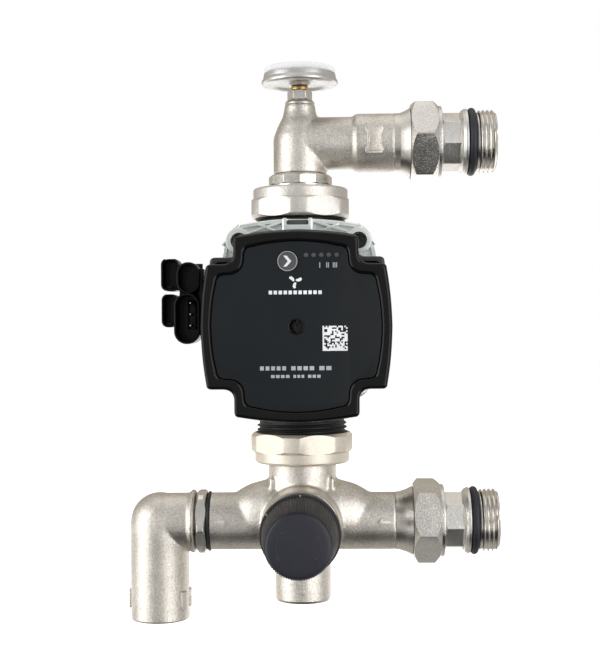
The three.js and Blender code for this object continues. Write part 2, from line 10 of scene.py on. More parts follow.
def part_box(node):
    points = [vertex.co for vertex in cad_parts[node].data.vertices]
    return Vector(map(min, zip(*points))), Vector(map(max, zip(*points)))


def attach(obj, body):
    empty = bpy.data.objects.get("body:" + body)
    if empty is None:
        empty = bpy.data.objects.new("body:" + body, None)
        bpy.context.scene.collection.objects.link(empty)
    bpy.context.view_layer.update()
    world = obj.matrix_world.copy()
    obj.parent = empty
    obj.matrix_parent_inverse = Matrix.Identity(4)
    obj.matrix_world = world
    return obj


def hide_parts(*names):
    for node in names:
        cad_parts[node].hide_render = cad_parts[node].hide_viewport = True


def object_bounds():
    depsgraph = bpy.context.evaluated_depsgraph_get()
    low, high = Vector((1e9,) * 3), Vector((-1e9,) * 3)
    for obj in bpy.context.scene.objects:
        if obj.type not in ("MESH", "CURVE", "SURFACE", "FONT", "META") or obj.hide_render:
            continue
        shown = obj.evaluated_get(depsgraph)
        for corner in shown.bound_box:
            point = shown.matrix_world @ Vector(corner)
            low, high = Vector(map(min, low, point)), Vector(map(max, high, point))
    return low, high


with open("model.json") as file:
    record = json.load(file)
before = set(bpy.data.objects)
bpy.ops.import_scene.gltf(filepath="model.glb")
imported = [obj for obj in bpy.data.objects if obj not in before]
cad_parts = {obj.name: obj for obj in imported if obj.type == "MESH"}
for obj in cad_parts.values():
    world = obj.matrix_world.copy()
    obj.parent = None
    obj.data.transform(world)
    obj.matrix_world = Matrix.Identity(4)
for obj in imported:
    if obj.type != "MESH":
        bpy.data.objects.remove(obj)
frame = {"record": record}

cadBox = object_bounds()
mm = 0.001


def middle(node):
    low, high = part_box(node)
    return (low + high) / 2


def mountPlace(name):
    return Vector(next(m["pos_m"] for m in frame["record"]["mounts"] if m["name"] == name))


# every piece is built in millimetres about the pump's centre, then put in the frame
hub = Vector((middle("pump_housing").x, 0, middle("pump_housing").z))
upperZ = (middle("upper_union_nipple").z - hub.z) / mm  # axis of the upper connection
lowerZ = (middle("lower_union_nipple").z - hub.z) / mm
endX = (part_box("lower_union_nipple")[1].x - hub.x) / mm  # end face of both connections
inletX = (mountPlace("inlet_face").x - hub.x) / mm
inletEnd = (mountPlace("inlet_face").z - hub.z) / mm
stubEnd = (mountPlace("outlet_face").z - hub.z) / mm
print("frame loaded, pump centre at", [round(c, 4) for c in hub])

along = {"x": Vector((1, 0, 0)), "y": Vector((0, 1, 0)), "z": Vector((0, 0, 1))}
outward = {"x": Vector((0, 0, 1)), "y": Vector((1, 0, 0)), "z": Vector((1, 0, 0))}


def soften(points, radius, closed, bends=3):  # every corner becomes a short curve
    line = []
    last = len(points) - 1
    for i, point in enumerate(points):
        corner = Vector(point)
        before, after = Vector(points[i - 1]) - corner, Vector(points[(i + 1) % len(points)]) - corner
        ends = not closed and i in (0, last)
        if ends or before.length < 1e-6 or after.length < 1e-6 or before.angle(after) > 2.9:
            line.append(corner)
            continue
        reach = min(radius, before.length * 0.45, after.length * 0.45)
        start, end = corner + before.normalized() * reach, corner + after.normalized() * reach
        for k in range(bends + 1):
            t = k / bends
            line.append(start.lerp(corner, t).lerp(corner.lerp(end, t), t))
    return line


def lathe(axis, points, steps=96, radius=0.35, step=0.0):
    # points are (distance along the axis, radius); step moves each turn on, for a thread
    closed = step == 0 and (points[0][1] > 1e-6 or points[-1][1] > 1e-6)
    line = soften(points, radius, closed) if radius else [Vector(p) for p in points]
    bm = bmesh.new()
    verts = [bm.verts.new(along[axis] * p.x + outward[axis] * p.y) for p in line]
    edges = [bm.edges.new(pair) for pair in zip(verts, verts[1:])]
    if closed:
        edges.append(bm.edges.new((verts[-1], verts[0])))
    bmesh.ops.spin(
        bm, geom=verts + edges, cent=(0, 0, 0), axis=along[axis], dvec=along[axis] * (step / steps),
        angle=math.tau, steps=steps, use_merge=step == 0,
    )
    bmesh.ops.remove_doubles(bm, verts=bm.verts, dist=1e-3)
    bmesh.ops.recalc_face_normals(bm, faces=bm.faces)
    return bm


def rod(axis, start, end, radius, steps=64, edge=0.25):
    return lathe(axis, [(start, 0), (start, radius), (end, radius), (end, 0)], steps, edge)


def pipe(axis, start, end, inner, outer, steps=96, edge=0.3):
    return lathe(axis, [(start, inner), (start, outer), (end, outer), (end, inner)], steps, edge)


def block(low, high, edge=0.4, segments=2):
    bm = bmesh.new()
    bmesh.ops.create_cube(bm, size=1)
    size = Vector(high) - Vector(low)
    bmesh.ops.scale(bm, vec=size, verts=bm.verts)
    bmesh.ops.translate(bm, vec=(Vector(high) + Vector(low)) / 2, verts=bm.verts)
    if edge:
        bevelEdges(bm, bm.edges[:], min(edge, min(size) * 0.45), segments)
    return bm


def bevelEdges(bm, edges, offset, segments=2):
    bmesh.ops.bevel(
        bm, geom=edges, offset=offset, offset_type="OFFSET", affect="EDGES", segments=segments,
        profile=0.5, material=-1, clamp_overlap=True,
    )


def prism(outline, back, front, edge=0.0, segments=3, bothEnds=False):
    # an upright outline in X and Z, pushed out from back to front along Y, its rims rounded
    bm = bmesh.new()
    face = bm.faces.new([bm.verts.new((x, back, z)) for x, z in outline])
    pushed = bmesh.ops.extrude_face_region(bm, geom=[face])
    verts = [v for v in pushed["geom"] if isinstance(v, bmesh.types.BMVert)]
    bmesh.ops.translate(bm, vec=(0, front - back, 0), verts=verts)
    bmesh.ops.recalc_face_normals(bm, faces=bm.faces)
    if edge:
        places = [front, back] if bothEnds else [front]
        rims = [e for e in bm.edges if any(all(abs(v.co.y - y) < 1e-5 for v in e.verts) for y in places)]
        bevelEdges(bm, rims, edge, segments)
    return bm


def pushed(bm, cap, first):  # a new cap over the old one, whose face stays only at the very back
    geometry = bmesh.ops.extrude_face_region(bm, geom=[cap])["geom"]
    if not first and cap.is_valid:
        bmesh.ops.delete(bm, geom=[cap], context="FACES_ONLY")
    return next(f for f in geometry if isinstance(f, bmesh.types.BMFace))


def shift(bm, x=0.0, y=0.0, z=0.0):
    bmesh.ops.translate(bm, vec=(x, y, z), verts=bm.verts)
    return bm


def turn(bm, axis, degrees, about=(0, 0, 0)):
    bmesh.ops.rotate(bm, cent=about, matrix=Matrix.Rotation(math.radians(degrees), 3, along[axis]), verts=bm.verts)
    return bm


def gather(*parts):  # several closed shapes in one mesh
    whole = bmesh.new()
    for part in parts:
        mesh = bpy.data.meshes.new("part")
        part.to_mesh(mesh)
        whole.from_mesh(mesh)
        bpy.data.meshes.remove(mesh)
        part.free()
    return whole


def workObject(bm, name="work"):
    mesh = bpy.data.meshes.new(name)
    bm.to_mesh(mesh)
    bm.free()
    piece = bpy.data.objects.new(name, mesh)
    bpy.context.scene.collection.objects.link(piece)
    return piece


def applied(piece, *tools):  # the mesh as its modifiers leave it
    view = bpy.context.evaluated_depsgraph_get()
    bm = bmesh.new()
    bm.from_mesh(piece.evaluated_get(view).data)
    for thing in (piece, *tools):
        mesh = thing.data
        bpy.data.objects.remove(thing)
        bpy.data.meshes.remove(mesh)
    return bm


def carve(bm, other, how="DIFFERENCE"):
    sealed = all(edge.is_manifold for edge in [*bm.edges, *other.edges])
    piece, tool = workObject(bm), workObject(other)
    modifier = piece.modifiers.new("carve", "BOOLEAN")
    modifier.operation = how
    modifier.solver = "MANIFOLD" if sealed else "EXACT"
    modifier.object = tool
    return applied(piece, tool)


def cutAll(bm, trims):
    for trim in trims:
        bm = carve(bm, trim)
    return bm


def turnedHexagon(axis, start, end, flats, degrees, profile, count=6, edge=0.3, steps=96, radius=0.2):
    # flats with the turned chamfers of the profile at both ends
    flat = hexagon(axis, start, end, flats, degrees, count, edge)
    return carve(flat, lathe(axis, profile, steps, radius), "INTERSECT")


def melt(bm, voxel, rounds):  # parts of a casting run into each other with soft fillets
    piece = workObject(bm)
    remesh = piece.modifiers.new("melt", "REMESH")
    remesh.mode = "VOXEL"
    remesh.voxel_size = voxel
    smooth = piece.modifiers.new("settle", "SMOOTH")
    smooth.factor = 0.5
    smooth.iterations = rounds
    return applied(piece)


def place(name, bm, material, replaces=(), body="group", sharp=38):
    bmesh.ops.scale(bm, vec=(mm, mm, mm), verts=bm.verts)
    bmesh.ops.translate(bm, vec=hub, verts=bm.verts)
    for face in bm.faces:
        face.smooth = True
    for edge in bm.edges:
        edge.smooth = edge.calc_face_angle(0) < math.radians(sharp)
    mesh = bpy.data.meshes.new(name)
    bm.to_mesh(mesh)
    bm.free()
    mesh.materials.append(material)
    piece = bpy.data.objects.new(name, mesh)
    bpy.context.scene.collection.objects.link(piece)
    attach(piece, body)
    if replaces:
        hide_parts(*replaces)
    return piece


class Value:  # a socket that can be used in plain arithmetic
    def __init__(self, shader, socket):
        self.shader = shader
        self.socket = socket

    def maths(self, operation, first, second):
        return self.shader.add("Math", {"operation": operation}, {0: first, 1: second})

    def __add__(self, other):
        return self.maths("ADD", self, other)

    def __radd__(self, other):
        return self.maths("ADD", other, self)

    def __sub__(self, other):
        return self.maths("SUBTRACT", self, other)

    def __rsub__(self, other):
        return self.maths("SUBTRACT", other, self)

    def __mul__(self, other):
        return self.maths("MULTIPLY", self, other)

    def __rmul__(self, other):
        return self.maths("MULTIPLY", other, self)


class Shader:
    def __init__(self, name, **fixed):
        self.material = bpy.data.materials.new(name)
        self.material.use_nodes = True
        self.tree = self.material.node_tree
        self.surface = self.tree.nodes["Principled BSDF"]
        self.place = self.add("TexCoord", out="Object")
        for socket, value in fixed.items():
            self.surface.inputs[socket.replace("_", " ")].default_value = value

    def add(self, kind, settings=None, sockets=None, out=0):
        node = self.tree.nodes.new("ShaderNode" + kind)
        for key, value in (settings or {}).items():
            setattr(node, key, value)
        for key, value in (sockets or {}).items():
            self.feed(node.inputs[key], value)
        return Value(self, node.outputs[out])

    def feed(self, socket, value):
        if isinstance(value, Value):
            self.tree.links.new(value.socket, socket)
        else:
            socket.default_value = value

    def noise(self, scale, detail=2.0, rough=0.5, where=None):
        where = where or self.place
        return self.add("TexNoise", {}, {"Vector": where, "Scale": scale, "Detail": detail, "Roughness": rough})

    def stretched(self, x, y, z):
        return self.add("Mapping", {}, {"Vector": self.place, "Scale": (x, y, z)})

    def span(self, value, low, high, newLow=0.0, newHigh=1.0):
        names = {"Value": value, "From Min": low, "From Max": high, "To Min": newLow, "To Max": newHigh}
        return self.add("MapRange", {"clamp": True}, names)

    def blend(self, factor, first, second, mode="MIX"):
        pair = [(*c, 1) if isinstance(c, tuple) and len(c) == 3 else c for c in (first, second)]
        settings = {"data_type": "RGBA", "blend_type": mode}
        return self.add("Mix", settings, {0: factor, 6: pair[0], 7: pair[1]}, out=2)

    def bump(self, height, distance, strength=1.0, under=None):
        sockets = {"Height": height, "Distance": distance, "Strength": strength}
        if under:
            sockets["Normal"] = under
        return self.add("Bump", {}, sockets)

    def done(self, **varying):
        for socket, value in varying.items():
            self.feed(self.surface.inputs[socket.replace("_", " ")], value)
        return self.material


def blastedNickel(name, dark, light, roughness=0.36, grit=1.0):
    # hot-pressed brass, shot-blasted and nickel plated: a fine sparkle over slow clouds of tone
    s = Shader(name, Metallic=1.0)
    coarse = s.noise(1150, 3, 0.6)
    fine = s.noise(3000, 2, 0.6)
    clouds = s.noise(60, 3, 0.55)
    height = coarse * 0.7 + fine * 0.3
    tone = s.span(clouds * 0.35 + coarse * 0.65, 0.36, 0.64)
    colour = s.blend(tone, dark, light)
    return s.done(
        Base_Color=colour,
        Roughness=s.span(fine * 0.5 + clouds * 0.5, 0.3, 0.7, roughness - 0.06, roughness + 0.08),
        Normal=s.bump(height, 0.0003 * grit, 0.85),
    )


def turnedNickel(name, axis, dark, light, roughness=0.2):
    # cut on a lathe: faint rings about the axis, brighter than the casting
    s = Shader(name, Metallic=1.0)
    scale = [60, 60, 60]
    scale["xyz".index(axis)] = 5200
    rings = s.noise(1, 2, 0.6, s.stretched(*scale))
    handling = s.noise(160, 4, 0.6)
    grain = s.noise(1500, 2, 0.6)
    colour = s.blend(s.span(handling, 0.3, 0.7), dark, light)
    return s.done(
        Base_Color=colour,
        Roughness=s.span(handling * 0.6 + rings * 0.4, 0.3, 0.7, roughness - 0.05, roughness + 0.1),
        Normal=s.bump(rings * 0.6 + grain * 0.4, 0.00005, 0.6),
    )


def paintedIron(name):
    s = Shader(name, Metallic=0.0, Specular_IOR_Level=0.32)
    orangePeel = s.noise(700, 3, 0.55)
    sand = s.noise(1900, 3, 0.65)
    return s.done(
        Base_Color=s.blend(s.span(sand, 0.3, 0.7), (0.0045, 0.0045, 0.0052), (0.0125, 0.0125, 0.0140)),
        Roughness=s.span(orangePeel, 0.3, 0.7, 0.38, 0.56),
        Normal=s.bump(orangePeel * 0.5 + sand * 0.5, 0.0003, 0.7),
    )


def dieCast(name):
    s = Shader(name, Metallic=1.0)
    flow = s.noise(90, 4, 0.6)
    skin = s.noise(1500, 3, 0.6)
    return s.done(
        Base_Color=s.blend(s.span(flow, 0.3, 0.7), (0.74, 0.78, 0.755), (0.90, 0.94, 0.915)),
        Roughness=s.span(skin * 0.5 + flow * 0.5, 0.3, 0.7, 0.3, 0.48),
        Normal=s.bump(skin * 0.6 + flow * 0.4, 0.0002, 0.5),
    )


def plastic(name, colour, roughness, coat=0.0, grain=900, depth=0.00003, lift=1.35, shine=0.5):
    s = Shader(name, Metallic=0.0, Coat_Weight=coat, Coat_Roughness=0.06, Specular_IOR_Level=shine)
    texture = s.noise(grain, 3, 0.6)
    dust = s.noise(75, 4, 0.6)
    lighter = tuple(c * lift for c in colour)
    return s.done(
        Base_Color=s.blend(s.span(dust, 0.35, 0.75), colour, lighter),
        Roughness=s.span(texture * 0.5 + dust * 0.5, 0.3, 0.7, roughness - 0.04, roughness + 0.06),
        Normal=s.bump(texture, depth, 0.6),
    )


def metal(name, dark, light, roughness, scale=500, depth=0.00004):
    s = Shader(name, Metallic=1.0)
    streaks = s.noise(scale, 3, 0.6)
    stains = s.noise(110, 3, 0.6)
    return s.done(
        Base_Color=s.blend(s.span(stains, 0.3, 0.7), dark, light),
        Roughness=s.span(streaks, 0.3, 0.7, roughness - 0.04, roughness + 0.1),
        Normal=s.bump(streaks, depth, 0.6),
    )


def clearPlastic(name, tint, alpha):
    s = Shader(name, Metallic=0.0, IOR=1.49, Alpha=alpha)
    smears = s.noise(140, 3, 0.6)
    return s.done(
        Base_Color=s.blend(s.span(smears, 0.3, 0.7), tint, tuple(min(1, c * 1.04) for c in tint)),
        Roughness=s.span(smears, 0.3, 0.7, 0.03, 0.08),
    )


warmDark, warmLight = (0.50, 0.465, 0.415), (0.84, 0.80, 0.74)
castFinish = blastedNickel("blastedNickel", warmDark, warmLight)
turnedX = turnedNickel("turnedNickelX", "x", (0.62, 0.59, 0.54), (0.80, 0.775, 0.73), 0.2)
turnedY = turnedNickel("turnedNickelY", "y", (0.62, 0.59, 0.54), (0.80, 0.775, 0.73), 0.2)
turnedZ = turnedNickel("turnedNickelZ", "z", (0.62, 0.59, 0.54), (0.80, 0.775, 0.73), 0.2)
nutFinish = blastedNickel("pressedNut", (0.64, 0.615, 0.57), (0.82, 0.80, 0.76), 0.23, 0.7)
pumpNutFinish = blastedNickel("pumpNut", (0.60, 0.575, 0.53), (0.78, 0.76, 0.72), 0.42, 1.0)
nippleFinish = blastedNickel("pressedNipple", (0.68, 0.66, 0.62), (0.84, 0.825, 0.79), 0.3, 0.7)
creamNut = blastedNickel("creamNut", (0.72, 0.66, 0.56), (0.84, 0.79, 0.70), 0.5, 0.5)
brassFinish = metal("turnedBrass", (0.55, 0.36, 0.12), (0.86, 0.62, 0.26), 0.24)
caseFinish = metal("spunSteel", (0.58, 0.57, 0.555), (0.72, 0.71, 0.695), 0.33, 300)
rubberFinish = plastic("epdmRubber", (0.012, 0.014, 0.020), 0.5, grain=1300, depth=0.00006)
ironFinish = paintedIron("blackCoatedIron")
aluminiumFinish = dieCast("motorDieCasting")
screwFinish = metal("blackOxideSteel", (0.035, 0.035, 0.04), (0.09, 0.09, 0.095), 0.32)
glossBlack = plastic("glossBlackMoulding", (0.0030, 0.0030, 0.0036), 0.18, coat=0.06, grain=500, depth=0.00001,
                     shine=0.2)
panelFinish = plastic("panelFilm", (0.0075, 0.0102, 0.0124), 0.5, grain=2600, depth=0.00002, lift=1.12, shine=0.22)
knobSide = plastic("knobGrip", (0.020, 0.020, 0.023), 0.46, grain=1800, depth=0.00005)
knobFace = plastic("knobFace", (0.0125, 0.0125, 0.0215), 0.42, grain=2200, depth=0.00003)
printWhite = plastic("printedWhite", (0.74, 0.76, 0.78), 0.5, grain=1500)
printGrey = plastic("printedGrey", (0.36, 0.38, 0.40), 0.5, grain=1500)
lampFinish = plastic("lampWindow", (0.055, 0.060, 0.066), 0.3, grain=900)
dialWhite = plastic("dialCard", (0.80, 0.81, 0.80), 0.5, grain=1200, lift=1.05)
dialRed = plastic("pointerRed", (0.55, 0.03, 0.02), 0.4)
lensFinish = clearPlastic("clearWindow", (0.93, 0.95, 0.97), 0.28)
print("finishes ready:", len(bpy.data.materials))

threadForm = {"pitch": 2.309, "depth": 1.35, "turnsOver": 2}


def thread(axis, start, end, radius, steps=96):
    # one profile of teeth, spun once while it moves on by a pitch, then cut to length
    pitch, root = threadForm["pitch"], radius - threadForm["depth"]
    teeth = int((end - start) / pitch) + threadForm["turnsOver"]
    points = []
    for tooth in range(teeth):
        base = start + (tooth - 1) * pitch
        for part, height in ((0, 0), (0.14, 0), (0.38, 0.9), (0.5, 1), (0.62, 0.9), (0.86, 0)):
            points.append((base + part * pitch, root + height * (radius - root)))
    points.append((start + (teeth - 1) * pitch, root))
    bm = lathe(axis, points, steps, radius=0, step=pitch)
    for cut, clearOuter in ((start, False), (end, True)):
        bmesh.ops.bisect_plane(
            bm, geom=bm.verts[:] + bm.edges[:] + bm.faces[:], dist=1e-4, plane_co=along[axis] * cut,
            plane_no=along[axis], clear_outer=clearOuter, clear_inner=not clearOuter,
        )
    index = "xyz".index(axis)
    for vert in bm.verts:  # both ends run down into a chamfer
        here = vert.co[index]
        flat = vert.co - along[axis] * here
        limit = root - 0.15 + min(here - start, end - here) * 1.1
        if flat.length > limit:
            vert.co = along[axis] * here + flat.normalized() * limit
    rims = [e for e in bm.edges if e.is_boundary]
    bmesh.ops.holes_fill(bm, edges=rims, sides=0)
    return bm


def hexagon(axis, start, end, flats, degrees, count=6, edge=0.3):
    bm = bmesh.new()
    bmesh.ops.create_cone(
        bm, cap_ends=True, segments=count, depth=end - start,
        radius1=flats / 2 / math.cos(math.pi / count), radius2=flats / 2 / math.cos(math.pi / count),
    )
    if axis == "x":
        turn(bm, "y", 90)
    if axis == "y":
        turn(bm, "x", -90)
    turn(bm, axis, degrees)
    bmesh.ops.translate(bm, vec=along[axis] * (start + end) / 2, verts=bm.verts)
    if edge:
        lengthwise = [e for e in bm.edges if abs((e.verts[0].co - e.verts[1].co).normalized().dot(along[axis])) > 0.9]
        bevelEdges(bm, lengthwise, edge, 3)
    return bm


union = {
    "nutStart": 58.2, "hexEnd": 72.6, "nutEnd": 74.5, "nutFlats": 39.0, "nutRadius": 22.6, "collar": 19.0,
    "tailBore": 11.0, "octagonFlats": 28.4, "octagonEnd": 84.7, "rubber": 15.9, "rubberAt": 90.3,
    "rubberSection": 2.0, "threadRadius": 16.6, "turns": {"upper": (-4.6, 9.0), "lower": (13.6, 9.0)},
}


def buildUnion(side, z):
    u = union
    nutTurn, octagonTurn = u["turns"][side]
    nut = turnedHexagon("x", u["nutStart"], u["hexEnd"], u["nutFlats"], nutTurn, [
        (u["nutStart"], 0), (u["nutStart"], 19.3), (60.9, u["nutRadius"]), (69.2, u["nutRadius"]), (u["hexEnd"], 19.3),
        (u["hexEnd"], 0),
    ], edge=0.35)
    collar = lathe("x", [(70, 0), (70, u["collar"]), (u["nutEnd"], u["collar"]), (u["nutEnd"], 0)], radius=0.7)
    nut = carve(nut, collar, "UNION")
    room = lathe("x", [(57, 0), (57, 16.95), (71.3, 16.95), (71.3, 14.3), (75.5, 14.3), (75.5, 0)], radius=0.1)
    place(f"{side}UnionNut", shift(carve(nut, room), z=z), nutFinish, [f"{side}_union_nut"],
          sharp=30)

    bore = u["tailBore"]
    tail = lathe("x", [(68.3, bore), (68.3, 16.2), (71, 16.2), (71, 13.5), (80, 13.5), (80, bore)])
    place(f"{side}UnionTail", shift(tail, z=z), turnedX, [f"{side}_union_tail"])

    octagon = turnedHexagon("x", 74.8, u["octagonEnd"], u["octagonFlats"], octagonTurn, [
        (74.8, 0), (74.8, 14.5), (75.8, 15.5), (u["octagonEnd"], 15.5), (u["octagonEnd"], 0),
    ], count=8, radius=0.1)
    neck = lathe("x", [
        (83.6, 0), (83.6, 14.7), (84.6, 15.6), (85.0, 16.3), (85.5, 16.75), (86.1, 17.0), (86.5, 17.35),
        (87.9, 17.35), (88.0, 13.6), (92.6, 13.6), (92.7, 15.1), (endX, 15.1), (endX, 0),
    ], radius=0.25)
    body = carve(octagon, neck, "UNION")
    bore = lathe("x", [(73, 0), (73, 13.8), (80.3, 13.8), (80.3, 11.8), (endX - 0.8, 11.8), (endX + 0.2, 12.7),
                       (endX + 1, 12.7), (endX + 1, 0)], radius=0.15)
    place(f"{side}UnionNipple", shift(carve(body, bore), z=z), nippleFinish, [f"{side}_union_nipple"],
          sharp=30)
    ridges = thread("x", 92.9, endX - 0.25, u["threadRadius"])
    bored = carve(ridges, rod("x", 90, endX + 2, 12.75, 96, 0))
    place(f"{side}NippleThread", shift(bored, z=z), turnedX, sharp=50)

    r, at = u["rubberSection"], u["rubberAt"]
    section = [(at + r * math.cos(a), u["rubber"] + r * math.sin(a)) for a in (k * math.tau / 16 for k in range(16))]
    place(f"{side}UnionRing", shift(lathe("x", section, 96, radius=0), z=z), rubberFinish,
          [f"{side}_union_oring"], sharp=60)


buildUnion("upper", upperZ)
buildUnion("lower", lowerZ)
print("manifold unions done")

pumpUnion = {"flats": 51.0, "hexRadius": 27.15, "hexLength": 10.3, "length": 16.0, "collar": 25.0, "lip": 17.1}


def pumpNut(start, degrees, bevelled):
    p = pumpUnion
    hexEnd, end = start + p["hexLength"], start + p["length"]
    shape = [(start, 0), (start, 25.3), (start + 1.5, p["hexRadius"]), (hexEnd - bevelled, p["hexRadius"]),
             (hexEnd, 25.6), (hexEnd, 0)]
    nut = turnedHexagon("z", start, hexEnd, p["flats"], degrees, shape, edge=0, radius=0.25)
    collar = [(hexEnd - 1, 0), (hexEnd - 1, p["collar"]), (end - 0.9, p["collar"]), (end, p["collar"] - 0.9), (end, 0)]
    nut = carve(nut, lathe("z", collar, radius=0.5), "UNION")
    room = [(start - 1, 0), (start - 1, 24.2), (69.9, 24.2), (69.9, p["lip"]), (end + 1, p["lip"]), (end + 1, 0)]
    return carve(nut, lathe("z", room, radius=0.1))


place("upperPumpNut", pumpNut(57.0, 0, 1.4), pumpNutFinish, ["upper_pump_nut"], sharp=28)
place("lowerPumpNut", turn(pumpNut(55.7, 10.7, 1.2), "x", 180), creamNut, ["lower_pump_nut"],
      sharp=28)

upperTail = gather(
    lathe("z", [(66.8, 10), (66.8, 22), (69.6, 22), (69.6, 16), (75.2, 16), (75.2, 10)]),
    turnedHexagon("z", 74.4, 80.2, 32.3, 0, [
        (74.3, 0), (74.3, 15.6), (75.2, 16.8), (78.8, 16.8), (80.2, 15.1), (80.2, 0),
    ], count=12, edge=0.1),
)
upperTail = carve(upperTail, rod("z", 60, 95, 10, 64, 0))
place("upperTailpiece", upperTail, turnedZ, ["upper_tailpiece"], sharp=25)
place("upperTailThread", lathe("z", [(79.9, 10), (79.9, 11.9), (90, 11.9), (90, 10)]), turnedZ)
lowerTail = lathe("z", [
    (66.8, 12.4), (66.8, 22), (69.4, 22), (69.4, 16.5), (72, 16.5), (72, 15), (82, 15), (82, 12.4),
])
place("lowerTailpiece", turn(lowerTail, "x", 180), turnedZ, ["lower_tailpiece"])
print("pump unions done")

upperArm = {"thin": 13.85, "thick": 15.4, "step": 28.6, "machined": 49.9, "flareStart": 52.7, "flareEnd": 57.9,
            "flare": 18.1, "heel": 14.2, "bore": 11.0, "seat": 66.0}


def badge(width, height, thickness):
    # a plain raised shield, pinched at its waist, with small ears at the corners
    w, h = width / 2, height / 2
    half = [(w * 0.72, -h), (w * 0.86, -h * 0.97), (w, -h * 0.72), (w * 0.78, -h * 0.42), (w * 0.72, 0),
            (w * 0.78, h * 0.42), (w, h * 0.72), (w * 0.86, h * 0.97), (w * 0.72, h)]
    outline = half + [(-x, z) for x, z in reversed(half)]
    return prism(outline, 0, -thickness, edge=0.35, segments=3)


def buildUpperElbow():
    a = upperArm
    arm = lathe("x", [(0, 0), (0, a["thin"]), (a["step"] - 1, a["thin"]), (a["step"] + 1.2, a["thick"]),
                      (a["machined"], a["thick"]), (a["machined"], 0)], 72, 0.4)
    drop = rod("z", 80.6, upperZ, 14.1, 72)
    heel = bmesh.new()
    bmesh.ops.create_icosphere(heel, subdivisions=5, radius=a["heel"])
    shift(heel, z=upperZ)
    neck = lathe("z", [(upperZ, 0), (upperZ, 13.0), (103.5, 12.8), (107.5, 11.0), (110.5, 9.4), (113.5, 8.5),
                       (118.2, 7.9), (118.2, 0)], 72, 1.5)
    cast = melt(gather(shift(arm, z=upperZ), drop, heel, neck), 0.72, 7)
    trims = [
        block((-30, -30, 60), (30, 30, 80.5), 0),
        shift(block((a["machined"] - 0.4, -30, -30), (a["machined"] + 20, 30, 30), 0), z=upperZ),
        block((-20, -20, 117.7), (20, 20, 130), 0),
    ]
    cast = cutAll(cast, trims)
    cast = carve(cast, shift(rod("x", 0, a["machined"] + 1, a["bore"], 64, 0), z=upperZ))
    cast = carve(cast, lathe("z", [(79, 0), (79, 12.2), (91, 12.2), (91, a["bore"]), (upperZ, a["bore"]),
                                   (upperZ, 0)], 64, 0))
    cast = carve(cast, rod("z", upperZ, 119, 5.3, 48, 0))
    place("upperElbow", cast, castFinish, ["upper_elbow"], sharp=40)

    flare = lathe("x", [
        (a["machined"] - 0.42, a["bore"]), (a["machined"] - 0.42, a["thick"]), (a["machined"] + 0.5, a["thick"] + 0.08),
        (a["flareStart"], a["thick"] + 0.1), (55.6, 16.7), (a["flareEnd"], a["flare"]), (a["flareEnd"], 15.4),
        (a["seat"], 15.4), (a["seat"], a["bore"]),
    ], radius=0.1)
    place("upperElbowFlare", shift(flare, z=upperZ), flareFinish, sharp=40)
    place("upperElbowThread", shift(carve(thread("x", 58.6, a["seat"] - 0.1, 16.6),
          rod("x", 50, 70, 12, 64, 0)), z=upperZ), turnedX, sharp=50)
    rim = lathe("z", [(117.5, 5.4), (117.5, 8.0), (118.5, 7.8), (119.8, 6.9), (119.8, 5.4)], radius=0.35)
    place("elbowNeckRim", rim, flareFinish)
    shield = shift(badge(9.8, 15.2, 1.6), x=38.9, y=-14.6, z=upperZ)
    place("elbowBadge", shield, castFinish, sharp=50)
    inner = shift(badge(7.4, 12.4, 0.5), x=38.9, y=-16.0, z=upperZ)
    place("elbowBadgeFace", inner, castFinish, sharp=50)


flareFinish = blastedNickel("machinedFlare", (0.60, 0.565, 0.51), (0.78, 0.745, 0.69), 0.30, 0.4)
buildUpperElbow()
print("upper elbow done")

dial = {"caseFloor": 127.6, "rim": 133.9, "lensTop": 137.3, "radius": 20.3, "card": 131.1, "rest": 67.5,
        "sweep": 270.0, "marks": 40, "bandStep": 5.0}


